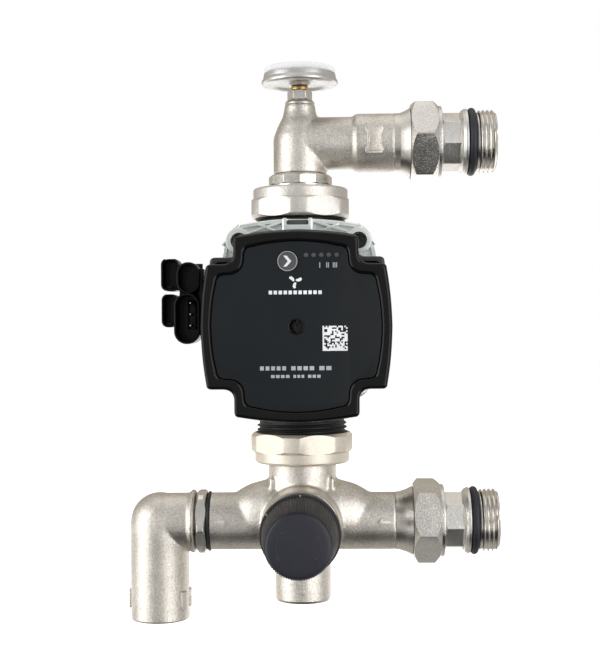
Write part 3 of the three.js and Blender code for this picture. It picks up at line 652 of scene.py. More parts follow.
def buildThermometer():
    pocketHead = turnedHexagon("z", 120.1, 124.8, 11.5, 30, [
        (120.1, 0), (120.1, 6.2), (120.8, 6.9), (124.0, 6.9), (124.8, 6.0), (124.8, 0),
    ], edge=0.2, steps=64, radius=0.15)
    tube = lathe("z", [(90, 0), (90, 4.2), (104, 4.2), (104, 5), (120.2, 5), (120.2, 0)], 48)
    pocket = carve(carve(pocketHead, tube, "UNION"), rod("z", 92, 126, 3.1, 48, 0))
    place("thermometerPocket", pocket, nippleFinish, ["thermometer_pocket"], sharp=30)
    stem = lathe("z", [(94, 0), (94, 2.6), (125.1, 2.6), (125.1, 4.4), (125.5, 4.9), (126.7, 4.9), (127.2, 4.4),
                       (127.2, 0)], 64)
    place("thermometerStem", stem, brassFinish, ["thermometer_stem"])
    case = lathe("z", [
        (127.5, 1.1), (127.5, 5.6), (128.1, 6.3), (128.9, 7.0), (129.0, 8.4), (128.7, 9.0), (129.0, 9.6), (129.0, 14.6),
        (128.2, 15.6), (127.7, 16.6), (dial["caseFloor"], 18.6), (128.0, 19.7), (128.9, dial["radius"]),
        (129.8, 20.2), (131.2, 19.4),
        (dial["rim"], 18.9), (dial["rim"], 17.8), (130.2, 17.6), (130.2, 1.1),
    ], 128, 0.3)
    place("thermometerCase", case, caseFinish, ["thermometer_case"], sharp=45)
    card = lathe("z", [(130.5, 1.1), (130.5, 17.2), (dial["card"], 17.2), (dial["card"], 1.1)], 96, 0.1)
    place("thermometerCard", card, dialWhite, ["thermometer_dial"])
    scale = bmesh.new()
    for mark in range(dial["marks"] + 1):
        long = mark % 5 == 0
        bar = block((-0.16 if long else -0.09, 12.4 if long else 14.0, 0), (0.16 if long else 0.09, 15.6, 0.06), 0)
        shift(bar, z=dial["card"])
        start = dial["sweep"] / 2
        scale = gather(scale, turn(bar, "z", start - mark * dial["sweep"] / dial["marks"]))
    place("thermometerScale", scale, screwFinish)
    for name, ticks, ink in (("Cold", range(27), printBlue), ("Hot", range(27, 55), dialRed)):
        arc = bmesh.new()
        for tick in ticks:
            bar = shift(block((-0.75, 16.05, 0), (0.75, 16.75, 0.05), 0), z=dial["card"])
            arc = gather(arc, turn(bar, "z", dial["sweep"] / 2 - tick * dial["bandStep"]))
        place(f"thermometer{name}Band", arc, ink)
    needle = bmesh.new()
    outline = [(-0.35, 14.4), (0.35, 14.4), (0.9, 0), (1.3, -6), (-1.3, -6), (-0.9, 0)]
    face = needle.faces.new([needle.verts.new((x, y, 131.75)) for x, y in outline])
    pushed = bmesh.ops.extrude_face_region(needle, geom=[face])
    bmesh.ops.translate(needle, vec=(0, 0, 0.4), verts=[v for v in pushed["geom"] if isinstance(v, bmesh.types.BMVert)])
    bmesh.ops.recalc_face_normals(needle, faces=needle.faces)
    post = lathe("z", [(127.8, 0), (127.8, 0.8), (131.6, 0.8), (131.6, 2.4), (132.3, 2.4), (132.7, 0.9), (133, 0.8),
                       (133, 0)], 40, 0.1)
    place("thermometerNeedle", turn(gather(needle, post), "z", dial["rest"]), screwFinish, ["thermometer_pointer"],
          body="dial_pointer")
    window = lathe("z", [
        (134.2, 17.2), (134.2, 18.9), (136.2, 18.75), (136.9, 18.4), (dial["lensTop"], 17.6), (dial["lensTop"], 0),
        (135.9, 0), (135.9, 16.6), (135.6, 17.2),
    ], 128, 0.25)
    place("thermometerWindow", window, lensFinish, ["thermometer_lens"])


printBlue = plastic("printedBlue", (0.03, 0.10, 0.45), 0.5)
buildThermometer()
print("thermometer done")

valve = {"tube": 15.1, "leftEnd": -48.2, "machined": 49.3, "flareEnd": 57.9, "flare": 18.1, "seat": 66.0,
         "riser": 18.0, "riserTop": -72.4, "stub": 14.85, "boss": 20.5, "bossFront": -38.0, "bore": 11.0}


def castArrow(length, width, height):  # a raised flow arrow that points along +X, on a wall facing -Y
    tip, w, shaft = length / 2, width / 2, width * 0.2
    outline = [(tip, 0), (tip - w * 1.1, w), (tip - w * 1.1, shaft), (-tip, shaft), (-tip, -shaft),
               (tip - w * 1.1, -shaft), (tip - w * 1.1, -w)]
    return prism(outline, 0.5, -height, edge=0.15, segments=2)


def buildValve():
    v = valve
    run = lathe("x", [(v["leftEnd"] - 1, 0), (v["leftEnd"] - 1, v["tube"]), (v["machined"], v["tube"]),
                      (v["machined"], 0)], 80, 0.4)
    swell = lathe("x", [(-38.5, 0), (-37.5, 8), (-34.8, 11.8), (-28, 15.6), (-19, 18), (-10, 18.8), (0, 18.95),
                        (10, 18.8), (19, 18), (28, 15.6), (34.8, 11.8), (37.5, 8), (38.5, 0)], 80, 2.5)
    boss = lathe("y", [(v["bossFront"] - 1, 0), (v["bossFront"] - 1, v["boss"]), (6, v["boss"]), (12, 17), (14, 0)],
                 80, 1.5)
    riser = rod("z", lowerZ, v["riserTop"] + 1, v["riser"], 80)
    stub = rod("z", stubEnd - 1, lowerZ, v["stub"], 80)
    ribs = [turn(block((-1.4, -20.5, lowerZ + 8), (1.4, -14, lowerZ + 24), 0.6), "z", a) for a in (55, -55, 125, -125)]
    cast = melt(gather(shift(run, z=lowerZ), shift(swell, z=lowerZ + 4), shift(boss, z=lowerZ), riser, stub, *ribs),
                0.8, 8)
    trims = [
        shift(block((v["leftEnd"] - 9, -40, -40), (v["leftEnd"], 40, 40), 0), z=lowerZ),
        shift(block((v["machined"] - 0.4, -40, -40), (v["machined"] + 9, 40, 40), 0), z=lowerZ),
        block((-40, -40, v["riserTop"]), (40, 40, v["riserTop"] + 9), 0),
        block((-40, -40, stubEnd - 9), (40, 40, stubEnd + 1.4), 0),
        shift(block((-40, -49, -40), (40, v["bossFront"], 40), 0), z=lowerZ),
        shift(rod("x", -60, v["machined"] + 1, v["bore"], 64, 0), z=lowerZ),
        shift(rod("x", -60, -38, 12.2, 64, 0), z=lowerZ),
        lathe("z", [(lowerZ, 0), (lowerZ, 12.5), (-83, 12.5), (-83, 15.3), (-70, 15.3), (-70, 0)], 64, 0),
        lathe("z", [(stubEnd - 2, 0), (stubEnd - 2, 11.9), (stubEnd + 14, 11.9), (stubEnd + 14, v["bore"]),
                    (lowerZ, v["bore"]), (lowerZ, 0)], 64, 0),
        shift(lathe("y", [(-45, 0), (-45, 16.3), (-24, 16.3), (-24, 13.4), (8, 13.4), (8, 0)], 64, 0), z=lowerZ),
    ]
    cast = cutAll(cast, trims)
    place("valveBody", cast, castFinish, ["valve_body"], sharp=40)

    flare = lathe("x", [
        (v["machined"] - 0.42, v["bore"]), (v["machined"] - 0.42, v["tube"]), (v["machined"] + 0.5, v["tube"] + 0.1),
        (51.0, v["tube"] + 0.2), (55.0, 16.6), (v["flareEnd"], v["flare"]), (v["flareEnd"], 15.4), (v["seat"], 15.4),
        (v["seat"], v["bore"]),
    ], radius=0.1)
    place("valveFlare", shift(flare, z=lowerZ), flareFinish, sharp=40)
    teeth = carve(thread("x", 58.6, v["seat"] - 0.1, 16.6), rod("x", 50, 70, 12, 64, 0))
    place("valveOutletThread", shift(teeth, z=lowerZ), turnedX, sharp=50)
    foot = lathe("z", [(stubEnd, 11.9), (stubEnd, 13.9), (stubEnd + 0.4, 14.4), (stubEnd + 1.6, 14.85),
                       (stubEnd + 1.6, 11.9)], 96, 0.25)
    place("valveStubEnd", foot, flareFinish, sharp=45)
    face = shift(pipe("y", v["bossFront"] - 0.1, v["bossFront"] + 0.5, 16.3, 19.9, edge=0.2), z=lowerZ)
    place("valveBossFace", face, turnedY)
    for name, x, z, degrees in (("left", -42.0, 1.2, 0), ("right", 42.5, 1.2, 180), ("stub", 0, -33.5, 90)):
        mark = turn(castArrow(6.8, 4.6, 1.0), "y", degrees)
        wall = v["tube"] if name != "stub" else v["stub"]
        shift(mark, x=x, y=-wall + 0.15, z=lowerZ + z)
        place(f"valveArrow{name.capitalize()}", mark, castFinish, sharp=50)


def buildValveTrim():
    hexagonHead = turnedHexagon("y", -44.5, -38.4, 34, 30, [
        (-44.5, 0), (-44.5, 16.6), (-43.2, 19.4), (-39.6, 19.4), (-38.4, 17), (-38.4, 0),
    ])
    stack = lathe("y", [(-47, 0), (-47, 8.6), (-46.6, 9), (-44, 9), (-44, 15.8), (-25, 15.8), (-25, 0)], 96, 0.2)
    bonnet = carve(hexagonHead, stack, "UNION")
    bonnet = carve(bonnet, lathe("y", [(-48, 0), (-48, 4.3), (-36, 4.3), (-36, 10.5), (-24, 10.5), (-24, 0)], 64, 0))
    place("valveBonnet", shift(bonnet, z=lowerZ), turnedY, ["valve_bonnet"], sharp=30)

    ring = lathe("y", [(-49.5, 18), (-49.5, 20.2), (-47.5, 20.45), (-47.3, 20.2), (-47.3, 18)], 128, 0.25)
    lugs = [turn(block((9.4, -48.6, -2), (18.6, -47.4, 2), 0.2), "y", a) for a in (40, 160, 280)]
    hubRing = pipe("y", -48.6, -47.3, 9.6, 12)
    place("scaleRing", shift(gather(ring, hubRing, *lugs), z=lowerZ), knobSide, ["scale_ring"])
    ticks = []
    for degrees in (0, -58):  # the index mark and the scale's end mark
        tick = block((-0.45, -49.75, 18.6), (0.45, -49.45, 20.1), 0.1)
        ticks.append(turn(tick, "y", degrees))
    place("scaleMarks", shift(gather(*ticks), z=lowerZ), printGrey)


buildValve()
buildValveTrim()
print("mixing valve done")

knob = {"back": -49.8, "backRadius": 19.35, "frontRadius": 16.5, "ribs": 84, "ribDepth": 0.42,
        "capFront": -82.3, "capRadius": 15.75, "hub": 5.6}


def ribbedCone(k):
    # one rib outline repeated round a circle, pushed forward and drawn in
    bm = bmesh.new()
    verts = []
    for i in range(k["ribs"] * 4):
        angle = i * math.tau / (k["ribs"] * 4)
        radius = k["backRadius"] - (k["ribDepth"] if i % 4 in (2, 3) else 0)
        verts.append(bm.verts.new((radius * math.cos(angle), k["back"], radius * math.sin(angle))))
    face = bm.faces.new(verts)
    stages = [(1.2, 1.0), (28.0, k["frontRadius"] / k["backRadius"]), (0.6, 0.975)]
    for number, (length, scale) in enumerate(stages):
        face = pushed(bm, face, number == 0)
        moved = list(face.verts)
        bmesh.ops.translate(bm, vec=(0, -length, 0), verts=moved)
        bmesh.ops.scale(bm, vec=(scale, 1, scale), verts=moved)
    bmesh.ops.recalc_face_normals(bm, faces=bm.faces)
    return bm


def star(x, z, size, arms, y, height=0.25):
    bars = []
    for arm in range(arms):
        bars.append(turn(block((-size, y - height, -0.16), (size, y, 0.16), 0.06), "y", arm * 180 / arms))
    return shift(gather(*bars), x=x, z=z)


def arcBand(radius, width, start, end, y, height=0.25, pieces=24):
    bars = []
    for piece in range(pieces):
        degrees = start + (end - start) * (piece + 0.5) / pieces
        half = math.radians(abs(end - start) / pieces) * radius * 0.56
        bar = block((radius - width / 2, y - height, -half), (radius + width / 2, y, half), 0)
        bars.append(turn(bar, "y", -degrees))
    return gather(*bars)


def buildKnob():
    k = knob
    shell = ribbedCone(k)
    hollow = lathe("y", [(-76.8, k["hub"]), (-76.8, 14.8), (k["back"] + 1, 17.4), (k["back"] + 1, k["hub"])], 96, 0.4)
    shell = carve(shell, hollow)
    shell = carve(shell, lathe("y", [(-72.5, 0), (-72.5, 3.6), (-48, 3.6), (-48, 0)], 48, 0))
    shell = carve(shell, lathe("y", [(-81, 0), (-81, 3.9), (-78.2, 3.9), (-78.2, 1.9), (-72, 1.9), (-72, 0)], 48, 0))
    shell = carve(shell, rod("y", -51.3, -40, 5.9, 64, 0))
    place("knobGrip", shift(shell, z=lowerZ), knobSide, ["knob"], body="temperature_knob",
          sharp=32)
    cap = lathe("y", [(k["capFront"], 0), (-82.22, 5), (-81.98, 10), (-81.65, 13.4), (-81.3, 15.0), (-80.7, 15.6),
                      (-79.8, k["capRadius"]), (-79.8, 0)], 128, 0.5)
    place("knobCap", shift(cap, z=lowerZ), knobFace, ["knob_cap"], body="temperature_knob",
          sharp=50)
    y = -81.8
    signs = gather(
        arcBand(10.4, 0.35, 150, 215, y), arcBand(10.4, 0.35, -40, 22, y),
        star(-9.6, -5.6, 1.5, 3, y), star(9.3, 4.4, 1.5, 4, y), star(0, 0, 1.3, 3, y, 0.2),
        shift(block((-0.9, y - 0.25, -0.18), (0.9, y, 0.18), 0.06), x=-7.4, z=6.4),
        shift(block((-0.9, y - 0.25, -0.18), (0.9, y, 0.18), 0.06), x=8.2, z=-6.0),
        shift(block((-0.18, y - 0.25, -0.9), (0.18, y, 0.9), 0.06), x=8.2, z=-6.0),
    )
    place("knobSigns", shift(signs, z=lowerZ), knobSigns, body="temperature_knob")
    head = carve(lathe("y", [(-79.3, 0), (-79.3, 3.2), (-79.0, 3.5), (-78.5, 3.5), (-78.5, 1.5), (-73.4, 1.5),
                             (-73.4, 0)], 48, 0.1), block((-0.5, -80, -4), (0.5, -78.9, 4), 0))
    place("knobScrew", shift(head, z=lowerZ), caseFinish, ["knob_screw"], body="temperature_knob")


knobSigns = plastic("knobSigns", (0.034, 0.035, 0.050), 0.34, grain=2200)
buildKnob()
print("knob done")

inlet = {"drop": 15.6, "arm": 15.0, "bead": 16.7, "pad": 16.55, "padLow": -148.3, "padHigh": -138.8}


def buildInlet():
    n = inlet
    arm = lathe("x", [(inletX, 0), (inletX, n["arm"]), (-60.5, n["arm"]), (-59.4, n["arm"] + 0.4), (-58.9, n["bead"]),
                      (-57.1, n["bead"]), (-56.4, 15.4), (-56.3, 0)], 80, 0.5)
    drop = rod("z", inletEnd - 1, lowerZ, n["drop"], 80)
    heel = bmesh.new()
    bmesh.ops.create_icosphere(heel, subdivisions=5, radius=15.35)
    cast = melt(gather(shift(arm, z=lowerZ), shift(drop, x=inletX), shift(heel, x=inletX, z=lowerZ)), 0.72, 6)
    trims = [
        block((inletX - 30, -30, inletEnd - 9), (inletX + 30, 30, inletEnd + 0.9), 0),
        shift(rod("x", inletX, -50, 10, 64, 0), z=lowerZ),
        shift(lathe("z", [(inletEnd - 3, 0), (inletEnd - 3, 12.9), (-139, 12.9), (-139, 11), (lowerZ, 11), (lowerZ, 0)],
                    64, 0), x=inletX),
    ]
    cast = cutAll(cast, trims)
    place("inletElbow", cast, castFinish, ["inlet_elbow"], sharp=40)
    rim = lathe("z", [(inletEnd, 12.9), (inletEnd, 14.9), (inletEnd + 0.3, 15.3), (inletEnd + 1.1, n["drop"]),
                      (inletEnd + 1.1, 12.9)], 96, 0.25)
    place("inletElbowEnd", shift(rim, x=inletX), flareFinish, sharp=45)
    pads = []
    for degrees in (-85, 57, 97, 175, -150):
        pad = block((-2.3, -n["pad"], n["padLow"]), (2.3, -14, n["padHigh"]), 0.55, 3)
        pads.append(shift(turn(pad, "z", degrees), x=inletX))
    place("inletPads", gather(*pads), castFinish, sharp=50)
    spigot = lathe("x", [(-57, 10), (-57, 11.9), (-38.5, 11.9), (-38.5, 10)])
    place("inletSpigot", shift(spigot, z=lowerZ), turnedX)
    nut = turnedHexagon("x", -55.9, -50.2, 31, 5.5, [
        (-55.9, 0), (-55.9, 15.2), (-54.6, 17), (-51.6, 17), (-50.2, 15.2), (-50.2, 0),
    ], radius=0.25)
    nut = carve(nut, rod("x", -57, -49, 12.2, 64, 0))
    place("inletRingNut", shift(nut, z=lowerZ), turnedX, ["inlet_ring_nut"], sharp=28)
    section = [(-49.2 + 0.72 * math.cos(a), 14.9 + 0.95 * math.sin(a)) for a in (k * math.tau / 14 for k in range(14))]
    seal = gather(lathe("x", section, 96, 0), pipe("x", -49.8, -48.6, 12.3, 14.9))
    place("inletSeal", shift(seal, z=lowerZ), rubberFinish, ["inlet_oring"], sharp=60)


buildInlet()
print("inlet elbow done")

pump = {"port": 65.0, "portRadius": 19.0, "threadRadius": 23.85, "threadStart": 49.4, "bore": 13.5, "flangeBack": -16.0,
        "flangeFace": -24.0, "motorFace": -32.5, "can": 40.6, "canFront": -58.0,
        "screws": ((-30, 43), (30, 43), (-28, -29), (28, -29))}


def bend(start, control, end, count=6):  # the points of one soft curve, without its first
    line = []
    for k in range(1, count + 1):
        t = k / count
        line.append(tuple(
            (1 - t) ** 2 * a + 2 * t * (1 - t) * b + t * t * c for a, b, c in zip(start, control, end)
        ))
    return line


def flangeOutline(inset=0.0):
    right = [(24, -37), *bend((24, -37), (36, -37), (36, -25), 8), (41, 0), (39.5, 33), (37, 44),
             *bend((37, 44), (35, 50.5), (29, 51.8)), *bend((29, 51.8), (14, 54.5), (0, 54.5), 8)]
    points = right + [(-x, z) for x, z in reversed(right[:-1])]
    return [(x * (1 - inset / 40), z * (1 - inset / 46)) for x, z in points]


def layered(outlineOf, stages):  # an outline pushed along Y and redrawn at each stage's inset
    bm = bmesh.new()
    y, inset = stages[0]
    outline = outlineOf(inset)
    face = bm.faces.new([bm.verts.new((x, y, z)) for x, z in outline])
    for number, (y, inset) in enumerate(stages[1:]):
        before = outline
        outline = outlineOf(inset)
        face = pushed(bm, face, number == 0)
        for vert in face.verts:
            nearest = min(range(len(before)), key=lambda i: math.dist(before[i], (vert.co.x, vert.co.z)))
            vert.co = (outline[nearest][0], y, outline[nearest][1])
    bmesh.ops.recalc_face_normals(bm, faces=bm.faces)
    return bm


def roundedStages(back, front, inset, backEdge, frontEdge, count=4):  # y and inset along a side with soft rims
    stages = []
    for k in range(count + 1):
        a = math.pi / 2 * k / count
        stages.append((back - backEdge * (1 - math.cos(a)), inset + backEdge * (1 - math.sin(a))))
    for k in range(count + 1):
        a = math.pi / 2 * k / count
        stages.append((front + frontEdge * (1 - math.sin(a)), inset + frontEdge * (1 - math.cos(a))))
    return stages


def buildPumpHousing():
    p = pump
    volute = lathe("y", [(-24, 0), (-24, 37.6), (11, 37.6), (21, 34), (29, 25), (33.4, 14), (33.8, 0)], 96, 3)
    scroll = lathe("z", [(-11, 0), (-11, 34), (-8, 38.6), (8, 38.6), (11, 34), (11, 0)], 64, 2)
    scroll = turn(scroll, "x", 90)
    neck = lathe("z", [(0, 0), (0, 20.5), (34, 21), (44, p["portRadius"]), (50, p["portRadius"]), (50, 0)], 64, 1)
    lower = turn(neck.copy(), "y", 180)
    plate = layered(flangeOutline, roundedStages(p["flangeBack"], p["flangeFace"] - 0.6, 0, 1.2, 0.1, 3))
    bosses = [shift(rod("y", -24.4, -9, 5.6, 32), x=x, z=z) for x, z in p["screws"]]
    ribs = [turn(block((-1.8, -14, 33), (1.8, 18, 43), 0.8), "y", a) for a in (-26, 26, 154, -154)]
    cast = melt(gather(volute, shift(scroll, y=-4), neck, lower, plate, *bosses, *ribs), 1.05, 8)
    trims = [
        block((-60, -34, -60), (60, p["flangeFace"], 60), 0),
        rod("y", -25, -21, 35.5, 96, 0), rod("y", -22, -5, 33, 96, 0), rod("y", -6, 3, 9.7, 48, 0),
        rod("y", 2, 20, 20, 48, 0),
        shift(rod("z", -48, 0, 7.6, 32, 0), y=10), shift(rod("z", 24, 48, 7.5, 32, 0), y=-13),
        rod("z", -70, -46, p["bore"], 64, 0), rod("z", 45, 70, p["bore"], 64, 0),
        block((-60, -60, p["threadStart"] - 1.6), (60, 60, 90), 0),
        block((-60, -60, -90), (60, 60, 1.6 - p["threadStart"]), 0),
        *[shift(rod("y", -25, -17.5, 1.9, 24, 0), x=x, z=z) for x, z in p["screws"]],
    ]
    cast = cutAll(cast, trims)
    place("pumpHousing", cast, ironFinish, ["pump_housing"], sharp=42)
    for side, sign in (("Top", 1), ("Bottom", -1)):
        end = p["port"]
        port = lathe("z", [
            (p["threadStart"] - 2.4, p["bore"]), (p["threadStart"] - 2.4, p["portRadius"] + 0.3),
            (p["threadStart"] - 0.9, 21.6), (p["threadStart"], 22.35), (end - 0.9, 22.35), (end, 21.6),
            (end, p["bore"]),
        ], 96, 0.2)
        teeth = carve(thread("z", p["threadStart"] + 0.3, end - 0.5, p["threadRadius"]), rod("z", 40, 70, 20, 64, 0))
        both = gather(port, teeth)
        if sign < 0:
            turn(both, "x", 180)
        place(f"pumpPort{side}", both, ironFinish, sharp=50)
    arrow = turn(castArrow(15, 8, 1.1), "y", -90)
    place("pumpFlowArrow", shift(turn(arrow, "z", 180), y=33.2), ironFinish, sharp=50)


def buildMotorHousing():
    p = pump
    flange = layered(flangeOutline, roundedStages(p["flangeFace"] - 0.3, p["motorFace"], 0, 0.6, 1.1, 4))
    can = lathe("y", [(-31, 0), (-31, p["can"]), (p["canFront"], p["can"]), (p["canFront"], 0)], 128, 1.6)
    fins = [turn(block((-1.1, -56.5, 38), (1.1, -33.5, 41.9), 0.45), "y", 10 + 20 * k) for k in range(18)
            if 10 + 20 * k not in (50, 310, 130, 230)]
    ears = [shift(rod("y", -40, -31.5, 6.6 if z > 0 else 5.0, 40, 0.6), x=x, z=z) for x, z in p["screws"]]
    lip = layered(flangeOutline, [(-32, 0.15), (-35.6, 0.15), (-36, 0.5)])
    lip = carve(lip, layered(flangeOutline, [(-31, 2.0), (-37, 1.7)]))
    lip = carve(lip, block((-60, -60, -60), (60, 0, 33.5), 0))
    tab = block((-8.2, -41, 44), (7.2, -31.8, 54.3), 0.8, 3)
    braces = []
    for sign in (-1, 1):
        for (x0, z0), (x1, z1) in (((7, 53), (26, 47)), ((7, 46), (20, 51.6)), ((30, 51.2), (38.5, 41))):
            length = math.dist((x0, z0), (x1, z1))
            bar = block((0, -37.4, -0.7), (length, -32, 0.7), 0.3)
            bar = turn(bar, "y", -math.degrees(math.atan2(z1 - z0, x1 - x0)))
            bar = shift(bar, x=x0, z=z0)
            if sign < 0:
                turn(bar, "z", 180, (0, -34.7, 0))
            braces.append(bar)
    body = flange
    for part in (can, *fins, *ears, lip, tab, *braces):
        body = carve(body, part, "UNION")
    trims = [
        rod("y", -26.3, -23, 35.4, 96, 0), rod("y", -55.6, -23, 33.9, 96, 0), rod("y", -60, -54, 6, 48, 0),
        *[shift(rod("y", -60, -29, 4.2, 32, 0), x=x, z=z) for x, z in p["screws"]],
        *[shift(rod("y", -34, -23, 2.3, 24, 0), x=x, z=z) for x, z in p["screws"]],
        block((-6.0, -44, 50.9), (5.0, -33.6, 58), 0.5), block((-27, -36, 43.4), (-19.5, -30.6, 46.0), 0.4),
        block((19.5, -36, 43.4), (27, -30.6, 46.0), 0.4),
    ]
    body = cutAll(body, trims)
    place("motorHousing", body, aluminiumFinish, ["motor_housing"], sharp=32)
    # a dark block set into the tab's slot as painted shade, where the slot lies in shadow
    place("drainPlug", block((-5.8, -39.6, 50.95), (4.8, -33.7, 53.4), 0.5, 3), slotShadeFinish)
    for number, (x, z) in enumerate(p["screws"], 1):
        head = lathe("y", [(-33, 0), (-33, 3.35), (-32.6, 3.75), (-29.4, 3.75), (-29.4, 1.6), (-18.2, 1.6), (-18.2, 0)],
                     48, 0.15)
        head = carve(head, hexagon("y", -34, -31, 3.4, 10 * number, edge=0))
        place(f"motorScrew{number}", shift(head, x=x, z=z), screwFinish, [f"motor_screw_{number}"],
              sharp=30)


# the dark grey of the block in the tab's slot is painted shade
slotShadeFinish = plastic("slotShadeFill", (0.055, 0.058, 0.055), 0.5, grain=1300)
buildPumpHousing()
buildMotorHousing()
print("pump done")

box = {"back": -73.0, "front": -90.0, "rim": 5.0, "panelFace": -89.2, "panelBack": -87.2, "arch": 44.4, "side": 42.0,
       "step": 29.0, "baseBack": -58.6, "baseFront": -72.6, "baseStep": 4.5, "baseCrown": 2.3}
button = {"x": -3.9, "z": 30.2, "radius": 4.7, "face": -89.7, "lamps": (4.7, 8.2, 11.7, 15.2, 18.8), "lampZ": 33.0}


def boxOutline(inset, step=0.0, corner=2.6, fillet=5.5, crown=0.0):
    side = box["side"] - inset
    near = box["step"] - inset
    inner = fillet + inset * 0.6
    points = []
    # one quarter, turned four times: its two corner steps and its two arches
    for (c, n), rise, run, arches in (((1, 0), step, 0, (0, crown)), ((0, 1), 0, step, (crown, 0)),
                                      ((-1, 0), 0, 0, (0, 0)), ((0, -1), 0, 0, (0, 0))):
        first, last = (box["arch"] - inset + arch for arch in arches)
        low, high = near + rise, near + run
        quarter = [
            *bend((first, 0), (first - 0.3, low / 2), (side + arches[0], low - corner), 6),
            *bend((side + arches[0], low - corner), (side + arches[0], low), (side + arches[0] - corner, low), 5),
            (high + inner, low),
            *bend((high + inner, low), (high, low), (high, low + inner), 8),
            (high, side + arches[1] - corner),
            *bend((high, side + arches[1] - corner), (high, side + arches[1]), (high - corner, side + arches[1]), 5),
            *bend((high - corner, side + arches[1]), (high / 2, last - 0.3), (0, last), 6),
        ]
        points += [(x * c - z * n, x * n + z * c) for x, z in quarter]
    return points


def panelOutline(inset):
    return boxOutline(inset, 0, 4.4, 5.2)


def buildBox():
    b = box
    cover = layered(boxOutline, roundedStages(b["back"], b["front"], 0, 0.4, 1.7, 5))
    hollow = layered(boxOutline, [(-72, 2), (-86, 2)])
    mouth = layered(panelOutline, [(-85, b["rim"] - 0.25), (-88.9, b["rim"] - 0.25), (-89.4, b["rim"] - 0.45),
                                   (-89.8, b["rim"] - 0.95), (-90.5, b["rim"] - 2.2)])
    cover = carve(carve(cover, hollow), mouth)
    place("boxCover", cover, glossBlack, ["control_box_cover"], sharp=50)

    panel = layered(panelOutline, [(b["panelBack"], b["rim"]), (b["panelFace"] + 0.25, b["rim"]),
                                   (b["panelFace"] + 0.07, b["rim"] + 0.07), (b["panelFace"], b["rim"] + 0.28)])
    panel = carve(panel, rod("y", -91, -86, 3.5, 64, 0))
    panel = carve(panel, shift(rod("y", -91, -86, button["radius"] + 0.25, 64, 0), x=button["x"], z=button["z"]))
    for x in button["lamps"]:
        panel = carve(panel, shift(rod("y", -91, -86, 1.2, 24, 0), x=x, z=button["lampZ"]))
    place("controlPanel", panel, panelFinish, ["control_panel"], sharp=40)
    sleeve = lathe("y", [(-89.15, 3.05), (-89.5, 3.15), (-89.55, 3.5), (-89.1, 3.95), (-76.2, 3.95), (-76.2, 3.5),
                         (-88.8, 3.45)], 64, 0.1)
    place("screwSleeve", sleeve, glossBlack, sharp=60)
    plunger = lathe("y", [(-75, 0), (-75, 3.0), (-74.7, 3.3), (-73, 3.3), (-73, 2.9), (-59.5, 2.9), (-59.5, 0)],
                    48, 0.1)
    plunger = carve(plunger, block((-0.5, -76, -4), (0.5, -73.7, 4), 0))
    place("deblockingScrew", plunger, screwFinish, ["deblocking_screw"], body="deblocking_plunger",
          sharp=30)

    def baseOutline(inset):
        return boxOutline(inset, b["baseStep"], 2.6, 4.0, b["baseCrown"])

    base = layered(baseOutline, roundedStages(b["baseBack"], b["baseFront"], 0.4, 2.2, 1.2, 5))
    base = carve(base, layered(baseOutline, [(-60.8, 2.6), (-74, 2.6)]))
    base = carve(base, rod("y", -62, -58, 6, 48, 0))
    for x in (-26, -18, -10, 10, 18, 26):  # shallow grips pressed in the base's lower wall
        base = carve(base, block((x - 1.6, -71, -46), (x + 1.6, -62, -43.1), 0.4))
    place("boxBase", base, baseFinish, ["control_box_base"], sharp=45)
    corners = ((-22, 22), (22, 22), (22, -22), (-22, -22))
    bosses = [shift(pipe("y", -59.0, -57.9, 2.2, 4.4, 40, 0.3), x=x, z=z) for x, z in corners]
    place("boxBackRings", gather(*bosses), baseFinish)


def buildButton():
    n = button
    face = lathe("y", [(-86.3, 0), (-86.3, n["radius"]), (n["face"] + 0.1, n["radius"]),
                       (n["face"], n["radius"] - 0.15), (n["face"], n["radius"] - 0.55),
                       (n["face"] + 0.25, n["radius"] - 0.75), (n["face"] + 0.12, 0)], 96, 0.08)
    stem = rod("y", -86.9, -83.4, 1.8, 32, 0.1)
    place("modeButton", shift(gather(face, stem), x=n["x"], z=n["z"]), buttonFinish, ["mode_button"], body="button",
          sharp=35)
    # a pale grey ring laid on the button's rim as a painted highlight
    ring = pipe("y", n["face"] - 0.06, n["face"] + 0.2, n["radius"] - 0.42, n["radius"] - 0.1, 96, 0.05)
    place("buttonRing", shift(ring, x=n["x"], z=n["z"]), printGrey, body="button", sharp=60)
    arrow = [(-1.9, 2.55), (-0.35, 2.55), (1.85, 0), (-0.35, -2.55), (-1.9, -2.55), (0.2, 0)]
    mark = prism(arrow, n["face"] + 0.3, n["face"] + 0.02, edge=0.08, segments=2)
    place("buttonArrow", shift(mark, x=n["x"], z=n["z"]), printWhite, body="button", sharp=45)
    lamps, guide = [], block((3.6, -86.8, n["lampZ"] - 1), (19.9, -84.8, n["lampZ"] + 1), 0.2)
    for x in n["lamps"]:
        lamp = lathe("y", [(-89.22, 0), (-89.22, 1.0), (-89.1, 1.08), (-85, 1.08), (-85, 0)], 32, 0.04)
        lamps.append(shift(lamp, x=x, z=n["lampZ"]))
    place("statusLamps", gather(guide, *lamps), lampFinish, ["led_light_guide"], sharp=60)


